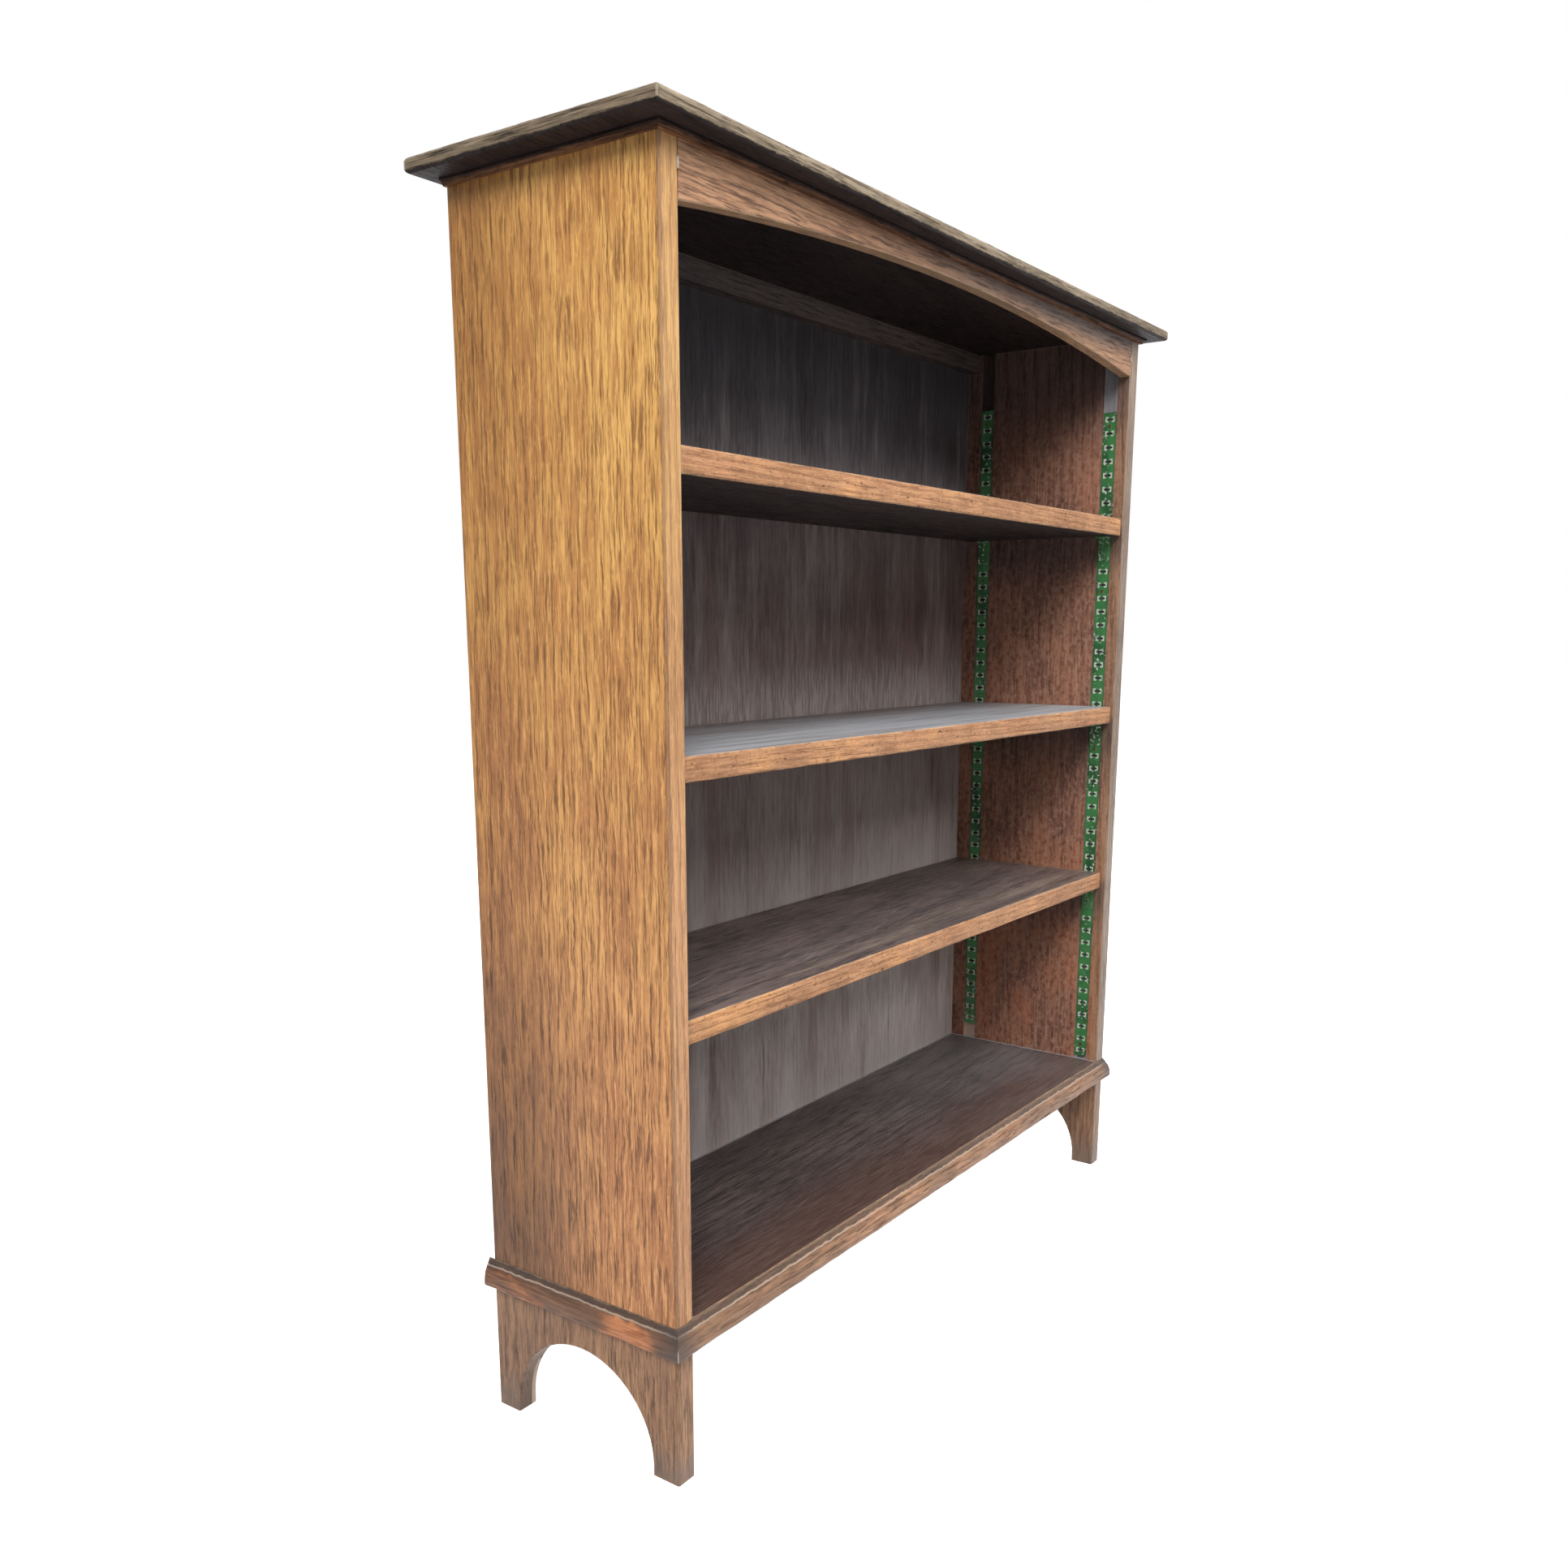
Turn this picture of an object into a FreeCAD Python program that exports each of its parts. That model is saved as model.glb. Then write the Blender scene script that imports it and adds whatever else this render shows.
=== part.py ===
import FreeCAD, Part
import math
import operator
import os
import Sketcher

# Open-front oak bookcase: two side panels with arched feet, a thin overhanging top, an arched
# frieze rail, a housed bottom board, a thin back and three loose shelves, which lie on
# clips hooked into slotted strips. The origin is at floor level under the middle of the top
# board, +Z is up and the open front looks towards -Y. Millimetres.

DRIVING_SIZES = {
    # Case
    "carcass_width": 1010.0,
    "carcass_depth": 250.0,
    "overall_height": 1219.0,
    "side_thickness": 24.0,
    "arris_radius": 2.0,
    # Top board
    "top_thickness": 14.0,
    "top_side_overhang": 33.0,
    "top_front_overhang": 28.0,
    "top_rear_overhang": 16.0,
    "top_edge_radius": 4.0,
    "top_lower_radius": 1.5,
    # Hollow moulding under the top board
    "bed_projection": 8.0,
    "bed_lip_height": 2.0,
    "bed_cove_radius": 4.0,
    # Arched foot of a side panel
    "foot_front_width": 33.0,
    "foot_arch_radius": 93.5,
    "foot_straight_height": 10.0,
    "foot_arris_width": 1.0,
    # Frieze rail under the front of the top
    "frieze_thickness": 16.0,
    "frieze_end_height": 52.0,
    "frieze_rise": 29.0,
    "frieze_arris_width": 1.2,
    # Rail under the rear of the top
    "rear_rail_thickness": 18.0,
    "rear_rail_height": 25.0,
    # Stub tenons of both rails
    "tenon_length": 10.0,
    "tenon_thickness": 8.0,
    "frieze_tenon_height": 30.0,
    "rear_tenon_height": 14.0,
    "joint_clearance": 0.1,
    # Bottom board, housed in the sides
    "floor_top_height": 167.0,
    "floor_thickness": 24.0,
    "housing_depth": 8.0,
    # Splayed moulding round the base
    "base_top_height": 166.0,
    "base_height": 29.5,
    "base_ledge_projection": 4.5,
    "base_ledge_drop": 6.5,
    "base_foot_projection": 9.5,
    "base_foot_radius": 3.5,
    # Back panel
    "back_thickness": 6.0,
    "back_side_inset": 12.0,
    # Loose shelves, and how far each stands back from the front
    "shelf_thickness": 24.0,
    "shelf_depth": 238.0,
    "shelf_end_clearance": 2.5,
    "shelf_seat_clearance": 0.3,
    "shelf_lower_setback": 8.0,
    "shelf_middle_setback": 5.0,
    "shelf_upper_setback": 3.0,
    # Slotted strips in their grooves
    "strip_width": 19.0,
    "strip_thickness": 1.6,
    "strip_recess": 0.6,
    "strip_foot_gap": 4.0,
    "strip_head_gap": 90.0,
    "front_strip_setback": 27.0,
    "rear_strip_setback": 218.0,
    "slot_pitch": 18.75,
    "slot_width": 9.5,
    "slot_height": 3.0,
    "groove_side_clearance": 0.5,
    "channel_width": 11.0,
    "channel_depth": 5.4,
    # Countersunk screws of the strips
    "screw_length": 16.0,
    "screw_shank_radius": 1.3,
    "screw_head_radius": 2.7,
    "screw_head_height": 1.4,
    # Shelf clips, bent from sheet, with two hooks each
    "clip_width": 16.0,
    "clip_sheet_thickness": 1.5,
    "clip_bend_radius": 2.3,
    "clip_tongue_length": 16.0,
    "clip_first_hook_drop": 10.2,
    "clip_leg_tail": 3.0,
    "clip_hook_width": 8.0,
    "clip_hook_height": 2.2,
    "clip_hook_clearance": 0.2,
    "clip_lip_thickness": 1.2,
    "clip_lip_drop": 2.0,
    # Dowels of the top, and glue blocks
    "dowel_radius": 4.0,
    "dowel_bite_top": 9.0,
    "dowel_bite_side": 22.0,
    "dowel_edge_distance": 40.0,
    "block_leg": 15.0,
    "block_length": 60.0,
    "block_front_distance": 150.0,
    "block_side_distance": 60.0,
    # Run-out of a cutting sketch past the face that it starts from, and the
    # nearness at which an edge counts as lying in a face
    "cut_overrun": 5.0,
    "edge_nearness": 0.01,
}

# A strip has as many slots as its groove has room for, and each shelf hangs in the slot that
# lies this share of the way up a front strip
SHELF_SLOT_SHARES = {"lower": 0.27, "middle": 0.53, "upper": 0.81}

# Counts
SCREWS_PER_STRIP = 5
SLOTS_PAST_SCREWS = 2
REAR_STRIP_STEPS_UP = 1
DOWELS_PER_SIDE = 3
FRIEZE_BLOCKS = 3
BASE_BLOCKS_PER_SIDE = 2
HOOKS_PER_CLIP = 2
SCREW_FLATS = 8
DOWEL_FLATS = 12

HALF_TURN = 180.0
FULL_TURN = 360.0

doc = FreeCAD.newDocument("Bookcase")
sheet = doc.addObject("Spreadsheet::Sheet", "Sizes")
for row, (alias, number) in enumerate(DRIVING_SIZES.items(), start=1):
    sheet.set("A%d" % row, alias)
    sheet.set("B%d" % row, str(number))
    sheet.setAlias("B%d" % row, alias)
doc.recompute()


class Size:
    """A length written once: its expression on the sheet, together with its number."""

    OPERATORS = {"+": operator.add, "-": operator.sub, "*": operator.mul, "/": operator.truediv}

    def __init__(self, text, number):
        self.text = text
        self.number = number

    def combined(self, sign, other, swapped=False):
        if not isinstance(other, Size):
            other = Size(repr(other), other)
        left, right = (other, self) if swapped else (self, other)
        number = self.OPERATORS[sign](left.number, right.number)
        return Size("(%s %s %s)" % (left.text, sign, right.text), number)

    def __add__(self, other):
        return self.combined("+", other)

    def __sub__(self, other):
        return self.combined("-", other)

    def __rsub__(self, other):
        return self.combined("-", other, swapped=True)

    def __mul__(self, other):
        return self.combined("*", other)

    def __rmul__(self, other):
        return self.combined("*", other, swapped=True)

    def __truediv__(self, other):
        return self.combined("/", other)

    def __neg__(self):
        return 0 - self


def size(alias):
    """The driving dimension of that name."""
    return Size("Sizes." + alias, sheet.get(alias))


def whole(amount):
    """The whole part of an amount."""
    return Size("floor(%s)" % amount.text, math.floor(amount.number))


NIL = Size("0", 0.0)
clearance = size("joint_clearance")
overrun = size("cut_overrun")

# Places that several pieces share
half_width = size("carcass_width") / 2
inner_half = half_width - size("side_thickness")
depth = size("carcass_depth")
overall_depth = depth + size("top_front_overhang") + size("top_rear_overhang")
front = size("top_front_overhang") - overall_depth / 2
case_top = size("overall_height") - size("top_thickness")
floor_underside = size("floor_top_height") - size("floor_thickness")
pitch = size("slot_pitch")
strip_setbacks = {"front": size("front_strip_setback"), "rear": size("rear_strip_setback")}
front_strip_foot = size("floor_top_height") + size("strip_foot_gap")
strip_feet = {"front": front_strip_foot, "rear": front_strip_foot + pitch * REAR_STRIP_STEPS_UP}
slot_count = whole((case_top - front_strip_foot - size("strip_head_gap")) / pitch)
strip_length = pitch * slot_count
screw_steps = whole((slot_count - SLOTS_PAST_SCREWS) / (SCREWS_PER_STRIP - 1))
screw_row_length = pitch * screw_steps * (SCREWS_PER_STRIP - 1)
SIDES = {"left": -1, "right": 1}


# Drawing helpers
def new_body(label, x=NIL, y=NIL, z=NIL, about_face=False):
    """A body with its own label, placed by expressions, and turned half round for the right."""
    body = doc.addObject("PartDesign::Body", label)
    body.Label = label
    if about_face:
        upright = FreeCAD.Vector(0, 0, 1)
        body.Placement = FreeCAD.Placement(FreeCAD.Vector(), FreeCAD.Rotation(upright, HALF_TURN))
    for axis, place in (("x", x), ("y", y), ("z", z)):
        body.setExpression("Placement.Base." + axis, place.text)
    return body


def origin_feature(body, role):
    """The plane or axis of the body's own origin that has that role."""
    return [item for item in body.Origin.OriginFeatures if item.Role == role][0]


def new_sketch(body, role, lift=NIL):
    """A sketch on an origin plane, or lifted off it along its normal."""
    sketch = body.newObject("Sketcher::SketchObject", "Sketch")
    sketch.AttachmentSupport = [(origin_feature(body, role), "")]
    sketch.MapMode = "FlatFace"
    sketch.setExpression("AttachmentOffset.Base.z", lift.text)
    return sketch


def fix(sketch, kind, geometry, point, place):
    """Ties one coordinate of a point, counted from the sketch's origin, to the sheet."""
    constraint = Sketcher.Constraint(kind, -1, 1, geometry, point, place.number)
    index = sketch.addConstraint(constraint)
    sketch.setExpression("Constraints[%d]" % index, place.text)


def outline(sketch, corners, arcs=None):
    """A closed outline through corners; arcs maps an edge's number to its centre."""
    arcs = arcs or {}
    ends = []
    for number, (start, end) in enumerate(zip(corners, corners[1:] + corners[:1])):
        first = FreeCAD.Vector(start[0].number, start[1].number, 0)
        last = FreeCAD.Vector(end[0].number, end[1].number, 0)
        if number not in arcs:
            edge = sketch.addGeometry(Part.LineSegment(first, last), False)
            ends.append((edge, 1, 2))
            continue
        centre = FreeCAD.Vector(arcs[number][0].number, arcs[number][1].number, 0)
        anticlockwise = (first - centre).cross(last - centre).z > 0
        begin, finish = (first, last) if anticlockwise else (last, first)
        angles = [math.atan2(point.y - centre.y, point.x - centre.x) for point in (begin, finish)]
        if angles[1] < angles[0]:
            angles[1] += math.radians(FULL_TURN)
        circle = Part.Circle(centre, FreeCAD.Vector(0, 0, 1), (begin - centre).Length)
        edge = sketch.addGeometry(Part.ArcOfCircle(circle, *angles), False)
        ends.append((edge, 1, 2) if anticlockwise else (edge, 2, 1))
    for number, (edge, start_point, _) in enumerate(ends):
        before, _, end_point = ends[number - 1]
        sketch.addConstraint(Sketcher.Constraint("Coincident", before, end_point, edge, start_point))
        fix(sketch, "DistanceX", edge, start_point, corners[number][0])
        fix(sketch, "DistanceY", edge, start_point, corners[number][1])
        if number in arcs:
            fix(sketch, "DistanceY", edge, 3, arcs[number][1])


def rectangle(sketch, low_u, low_v, high_u, high_v):
    """A rectangle between two opposite corners."""
    outline(sketch, [(low_u, low_v), (high_u, low_v), (high_u, high_v), (low_u, high_v)])


def polygon(sketch, centre_u, centre_v, radius, flats):
    """A regular polygon, which draws a small round piece with few faces."""
    turns = [math.radians(FULL_TURN) * number / flats for number in range(flats)]
    outline(sketch, [
        (centre_u + radius * math.cos(turn), centre_v + radius * math.sin(turn)) for turn in turns
    ])


def pad(body, sketch, length, reverse=False, both_ways=False):
    """Extrudes a sketch along its normal."""
    feature = body.newObject("PartDesign::Pad", "Pad")
    feature.Profile = sketch
    feature.Reversed = reverse
    feature.Midplane = both_ways
    feature.setExpression("Length", length.text)
    return feature


def pocket(body, sketch, length=None, reverse=False):
    """Cuts a sketch against its normal, or right through, and makes sure that it cuts."""
    doc.recompute()
    volume = body.Shape.Volume
    feature = body.newObject("PartDesign::Pocket", "Pocket")
    feature.Profile = sketch
    feature.Reversed = reverse
    if length is None:
        feature.Type = "ThroughAll"
    else:
        feature.setExpression("Length", length.text)
    doc.recompute()
    if body.Shape.Volume >= volume:
        raise RuntimeError("a pocket of %s cuts nothing" % body.Label)
    return feature


def lofted(body, kind, first, last):
    """Joins two sketches with straight faces, as an AdditiveLoft or a SubtractiveLoft."""
    feature = body.newObject("PartDesign::" + kind, kind)
    feature.Profile = first
    feature.Sections = [last]
    feature.Ruled = True
    return feature


def in_a_row(body, features, role, length, count):
    """Repeats features along an axis of the origin, over a whole length."""
    pattern = body.newObject("PartDesign::LinearPattern", "Row")
    pattern.Originals = features
    pattern.Direction = (origin_feature(body, role), [""])
    pattern.setExpression("Length", length.text)
    pattern.setExpression("Occurrences", count.text if isinstance(count, Size) else str(count))
    body.Tip = pattern


def eased(body, kind, measure, amount, chosen):
    """Dresses the edges of the body that chosen picks by their bounding boxes."""
    doc.recompute()
    base = body.Tip
    edges = enumerate(base.Shape.Edges, start=1)
    names = ["Edge%d" % number for number, edge in edges if chosen(edge.BoundBox)]
    feature = body.newObject("PartDesign::" + kind, kind)
    feature.Base = (base, names)
    feature.setExpression(measure, amount.text)


def rounded(body, radius, chosen):
    """Rounds the chosen edges."""
    eased(body, "Fillet", "Radius", radius, chosen)


def chamfered(body, width, chosen):
    """Takes the chosen edges off flat."""
    eased(body, "Chamfer", "Size", width, chosen)


def lies_at(low, high, place):
    """Whether a stretch of a bounding box lies wholly at a place."""
    near = size("edge_nearness").number
    return abs(low - place.number) < near and abs(high - place.number) < near


# Top board
def make_top_board():
    width = size("carcass_width") + size("top_side_overhang") * 2
    body = new_body("top_board", -width / 2, front - size("top_front_overhang"), case_top)
    sketch = new_sketch(body, "XY_Plane")
    rectangle(sketch, NIL, NIL, width, overall_depth)
    pad(body, sketch, size("top_thickness"))
    upper = size("top_thickness")
    rounded(body, size("top_edge_radius"), lambda box: lies_at(box.ZMin, box.ZMax, upper))
    rounded(body, size("top_lower_radius"), lambda box: lies_at(box.ZMin, box.ZMax, NIL))
    holes = new_sketch(body, "XY_Plane")
    first_y = size("top_front_overhang") + size("dowel_edge_distance")
    from_end = size("top_side_overhang") + size("side_thickness") / 2
    for x in (from_end, width - from_end):
        polygon(holes, x, first_y, size("dowel_radius") + clearance, DOWEL_FLATS)
    hole = pocket(body, holes, size("dowel_bite_top") + clearance, reverse=True)
    in_a_row(body, [hole], "Y_Axis", depth - size("dowel_edge_distance") * 2, DOWELS_PER_SIDE)


# Mitred mouldings round the case: the profile runs outwards from the case and down from its top
def bed_profile():
    reach = size("bed_projection")
    lip = size("bed_lip_height")
    cove = size("bed_cove_radius")
    corners = [(NIL, NIL), (reach, NIL), (reach, -lip), (reach - cove, -lip - cove), (NIL, -lip - cove)]
    return corners, {2: (reach, -lip - cove)}


def base_profile():
    ledge = size("base_ledge_projection")
    reach = size("base_foot_projection")
    foot = size("base_foot_radius")
    height = size("base_height")
    drop = size("base_ledge_drop")
    waist = foot - height
    corners = [
        (NIL, NIL),
        (ledge, -drop),
        (reach, waist),
        (reach - foot, -height),
        (NIL, -height),
    ]
    # The face swells outwards and turns upright where the foot's rounding starts
    rise = waist + drop
    run = reach - ledge
    swell = (run * run + rise * rise) / (run * 2)
    return corners, {1: (reach - swell, waist), 2: (reach - foot, waist)}


def outwards(profile, sign):
    """The same profile, drawn to the left of its wall where sign is -1."""
    corners, arcs = profile
    return (
        [(u * sign, v) for u, v in corners],
        {number: (u * sign, v) for number, (u, v) in arcs.items()},
    )


def make_front_moulding(label, top, profile, reach):
    body = new_body(label, NIL, front, top)
    sketch = new_sketch(body, "YZ_Plane")
    outline(sketch, *outwards(profile, -1))
    pad(body, sketch, size("carcass_width") + reach * 2, both_ways=True)
    mitres = new_sketch(body, "XY_Plane")
    for sign in SIDES.values():
        outline(mitres, [
            ((half_width - overrun) * sign, overrun),
            ((half_width + reach + overrun) * sign, -reach - overrun),
            ((half_width + reach + overrun) * sign, overrun),
        ])
    pocket(body, mitres)


def make_side_moulding(label, sign, top, profile, reach, run):
    body = new_body(label, half_width * sign, front, top)
    sketch = new_sketch(body, "XZ_Plane", lift=reach)
    outline(sketch, *outwards(profile, sign))
    pad(body, sketch, reach + run, reverse=True)
    mitre = new_sketch(body, "XY_Plane")
    outline(mitre, [
        (overrun * -sign, overrun),
        ((reach + overrun) * sign, -reach - overrun),
        (overrun * -sign, -reach - overrun),
    ])
    pocket(body, mitre)


def make_mouldings():
    bed = (case_top, bed_profile(), size("bed_projection"))
    base = (size("base_top_height"), base_profile(), size("base_foot_projection"))
    make_front_moulding("top_moulding_front", *bed)
    make_front_moulding("base_moulding_front", *base)
    for side, sign in SIDES.items():
        make_side_moulding("top_moulding_" + side, sign, *bed, depth)
        make_side_moulding("base_moulding_" + side, sign, *base, depth + size("back_thickness"))


# Side panels: local x is 0 on the inner face, local y is 0 on the front edge
def make_side_panel(side, sign):
    body = new_body("side_panel_" + side, inner_half * sign, front)
    is_left = sign < 0
    thickness = size("side_thickness")
    foot = size("foot_front_width")
    arch = size("foot_arch_radius")
    spring = size("foot_straight_height")
    centre = (foot + arch, spring)
    profile = new_sketch(body, "YZ_Plane")
    outline(profile, [
        (NIL, NIL),
        (foot, NIL),
        (foot, spring),
        (foot + arch, spring + arch),
        (foot + arch * 2, spring),
        (foot + arch * 2, NIL),
        (depth, NIL),
        (depth, case_top),
        (NIL, case_top),
    ], {2: centre, 3: centre})
    pad(body, profile, thickness, reverse=is_left)
    outer = thickness * sign

    def long_arris(box):
        upright = lies_at(box.ZMax, box.ZMax, case_top) and lies_at(box.ZMin, box.ZMin, NIL)
        in_front = lies_at(box.YMin, box.YMax, NIL)
        behind_outside = lies_at(box.YMin, box.YMax, depth) and lies_at(box.XMin, box.XMax, outer)
        return upright and (in_front or behind_outside)

    def arch_arris(box):
        on_face = lies_at(box.XMin, box.XMax, NIL) or lies_at(box.XMin, box.XMax, outer)
        past_front = box.YMin > foot.number - arch.number / 2
        before_rear = box.YMax < (foot + arch * 2).number + size("edge_nearness").number
        low = box.ZMax < (spring + arch).number + size("edge_nearness").number
        above_floor = box.ZMax > size("edge_nearness").number
        return on_face and past_front and before_rear and low and above_floor

    rounded(body, size("arris_radius"), long_arris)
    chamfered(body, size("foot_arris_width"), arch_arris)

    # Grooves for the strips, with a deeper channel behind the slots for the clips' hooks
    cuts = (
        (size("strip_width") / 2 + size("groove_side_clearance"),
         size("strip_recess") + size("strip_thickness")),
        (size("channel_width") / 2, size("channel_depth")),
    )
    groove_foot = size("floor_top_height")
    groove_end = case_top + overrun
    for half, cut_depth in cuts:
        sketch = new_sketch(body, "YZ_Plane")
        for setback in strip_setbacks.values():
            rectangle(sketch, setback - half, groove_foot, setback + half, groove_end)
        pocket(body, sketch, cut_depth, reverse=not is_left)

    # Housing for the bottom board
    sketch = new_sketch(body, "YZ_Plane")
    rectangle(
        sketch,
        -overrun,
        floor_underside - clearance,
        depth + overrun,
        size("floor_top_height") + clearance,
    )
    pocket(body, sketch, size("housing_depth") + clearance, reverse=not is_left)

    # Mortises for the two rails under the top
    sketch = new_sketch(body, "YZ_Plane")
    for near_y, low_z, height in (frieze_tenon(), rear_tenon()):
        rectangle(
            sketch,
            near_y - clearance,
            case_top + low_z - clearance,
            near_y + size("tenon_thickness") + clearance,
            case_top + low_z + height + clearance,
        )
    pocket(body, sketch, size("tenon_length") + clearance, reverse=not is_left)

    # Pilot holes for the screws of the strips
    sketch = new_sketch(body, "YZ_Plane")
    for place, setback in strip_setbacks.items():
        height = strip_feet[place] + pitch
        polygon(sketch, setback, height, size("screw_shank_radius") + clearance, SCREW_FLATS)
    screw_reach = size("strip_recess") + size("screw_length") + clearance
    hole = pocket(body, sketch, screw_reach, reverse=not is_left)
    in_a_row(body, [hole], "Z_Axis", screw_row_length, SCREWS_PER_STRIP)

    # Holes for the dowels of the top
    sketch = new_sketch(body, "XY_Plane", lift=case_top)
    dowel_y = size("dowel_edge_distance")
    polygon(sketch, outer / 2, dowel_y, size("dowel_radius") + clearance, DOWEL_FLATS)
    hole = pocket(body, sketch, size("dowel_bite_side") + clearance)
    in_a_row(body, [hole], "Y_Axis", depth - size("dowel_edge_distance") * 2, DOWELS_PER_SIDE)


# Rails under the top: local z is 0 at the top, local y is 0 on the case's front edge
def frieze_tenon():
    """Where the frieze's tenon starts in y and z, and how high it is."""
    height = size("frieze_tenon_height")
    near_y = (size("frieze_thickness") - size("tenon_thickness")) / 2
    return near_y, -(size("frieze_end_height") + height) / 2, height


def rear_tenon():
    """Where the rear rail's tenon starts in y and z, and how high it is."""
    height = size("rear_tenon_height")
    near_y = depth - (size("rear_rail_thickness") + size("tenon_thickness")) / 2
    return near_y, -(size("rear_rail_height") + height) / 2, height


def add_tenons(body, tenon):
    near_y, low_z, height = tenon
    length = size("tenon_length")
    sketch = new_sketch(body, "XZ_Plane", lift=-near_y)
    for sign in SIDES.values():
        low_x, high_x = sorted(
            ((inner_half - length) * sign, (inner_half + length) * sign),
            key=lambda place: place.number,
        )
        rectangle(sketch, low_x, low_z, high_x, low_z + height)
    pad(body, sketch, size("tenon_thickness"), reverse=True)


def make_frieze_rail():
    body = new_body("frieze_rail", NIL, front, case_top)
    end_height = size("frieze_end_height")
    rise = size("frieze_rise")
    radius = (inner_half * inner_half + rise * rise) / (rise * 2)
    sketch = new_sketch(body, "XZ_Plane")
    outline(sketch, [
        (-inner_half, NIL),
        (-inner_half, -end_height),
        (inner_half, -end_height),
        (inner_half, NIL),
    ], {1: (NIL, rise - end_height - radius)})
    pad(body, sketch, size("frieze_thickness"), reverse=True)

    def lower_arris(box):
        curved = box.ZMax < -size("edge_nearness").number and box.ZLength > rise.number / 2
        return curved and box.XLength > inner_half.number

    chamfered(body, size("frieze_arris_width"), lower_arris)
    add_tenons(body, frieze_tenon())


def make_rear_rail():
    body = new_body("top_rear_rail", NIL, front, case_top)
    sketch = new_sketch(body, "XZ_Plane", lift=size("rear_rail_thickness") - depth)
    rectangle(sketch, -inner_half, -size("rear_rail_height"), inner_half, NIL)
    pad(body, sketch, size("rear_rail_thickness"), reverse=True)
    add_tenons(body, rear_tenon())


# Bottom board, with its ends in the sides' housings
def make_bottom_board():
    body = new_body("bottom_board", NIL, front, floor_underside)
    half = inner_half + size("housing_depth")
    upper = size("floor_thickness")
    sketch = new_sketch(body, "XY_Plane")
    rectangle(sketch, -half, NIL, half, depth)
    pad(body, sketch, upper)

    def front_arris(box):
        return lies_at(box.YMin, box.YMax, NIL) and lies_at(box.ZMin, box.ZMax, upper)

    rounded(body, size("arris_radius"), front_arris)


def make_back_panel():
    body = new_body("back_panel", NIL, front + depth)
    half = half_width - size("back_side_inset")
    sketch = new_sketch(body, "XZ_Plane")
    rectangle(sketch, -half, floor_underside, half, case_top)
    pad(body, sketch, size("back_thickness"), reverse=True)


# Slotted strips: local x is 0 on the strip's face and the sheet lies behind it, at -x
def screw_shape(body, gap, z, length, is_hole):
    """A countersunk screw along local x, or the hole for it with a gap all round."""
    head_end = -size("screw_head_height")
    sketches = []
    for place, radius in ((NIL, size("screw_head_radius")), (head_end, size("screw_shank_radius"))):
        sketch = new_sketch(body, "YZ_Plane", lift=place)
        polygon(sketch, NIL, z, radius + gap, SCREW_FLATS)
        sketches.append(sketch)
    head = lofted(body, "SubtractiveLoft" if is_hole else "AdditiveLoft", *sketches)
    shank = new_sketch(body, "YZ_Plane", lift=head_end)
    polygon(shank, NIL, z, size("screw_shank_radius") + gap, SCREW_FLATS)
    if is_hole:
        return [head, pocket(body, shank, length + head_end)]
    return [head, pad(body, shank, length + head_end, reverse=True)]


def strip_place(sign, place):
    """Where the face of a strip stands: x outwards from the middle, and y."""
    return (inner_half + size("strip_recess")) * sign, front + strip_setbacks[place]


def make_strip(side, sign, place):
    x, y = strip_place(sign, place)
    body = new_body("strip_%s_%s" % (side, place), x, y, strip_feet[place], about_face=sign > 0)
    half = size("strip_width") / 2
    sketch = new_sketch(body, "YZ_Plane")
    rectangle(sketch, -half, NIL, half, strip_length)
    pad(body, sketch, size("strip_thickness"), reverse=True)
    slot = new_sketch(body, "YZ_Plane")
    slot_half = size("slot_width") / 2
    slot_foot = (pitch - size("slot_height")) / 2
    rectangle(slot, -slot_half, slot_foot, slot_half, slot_foot + size("slot_height"))
    in_a_row(body, [pocket(body, slot)], "Z_Axis", strip_length - pitch, slot_count)
    hole = screw_shape(body, clearance, pitch, size("strip_thickness") + overrun, True)
    in_a_row(body, hole, "Z_Axis", screw_row_length, SCREWS_PER_STRIP)


def make_strip_screws(side, sign, place):
    x, y = strip_place(sign, place)
    label = "strip_screws_%s_%s" % (side, place)
    body = new_body(label, x, y, strip_feet[place] + pitch, about_face=sign > 0)
    screw = screw_shape(body, NIL, NIL, size("screw_length"), False)
    in_a_row(body, screw, "Z_Axis", screw_row_length, SCREWS_PER_STRIP)


# Shelf clips: local x is 0 on the strip's face, local z is 0 on top of the tongue
def seat_height(shelf):
    """The height of the tongues under a shelf, above the slot that their upper hooks are in."""
    steps_up = whole(slot_count * SHELF_SLOT_SHARES[shelf])
    return front_strip_foot + pitch * steps_up + pitch / 2 + size("clip_first_hook_drop")


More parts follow.
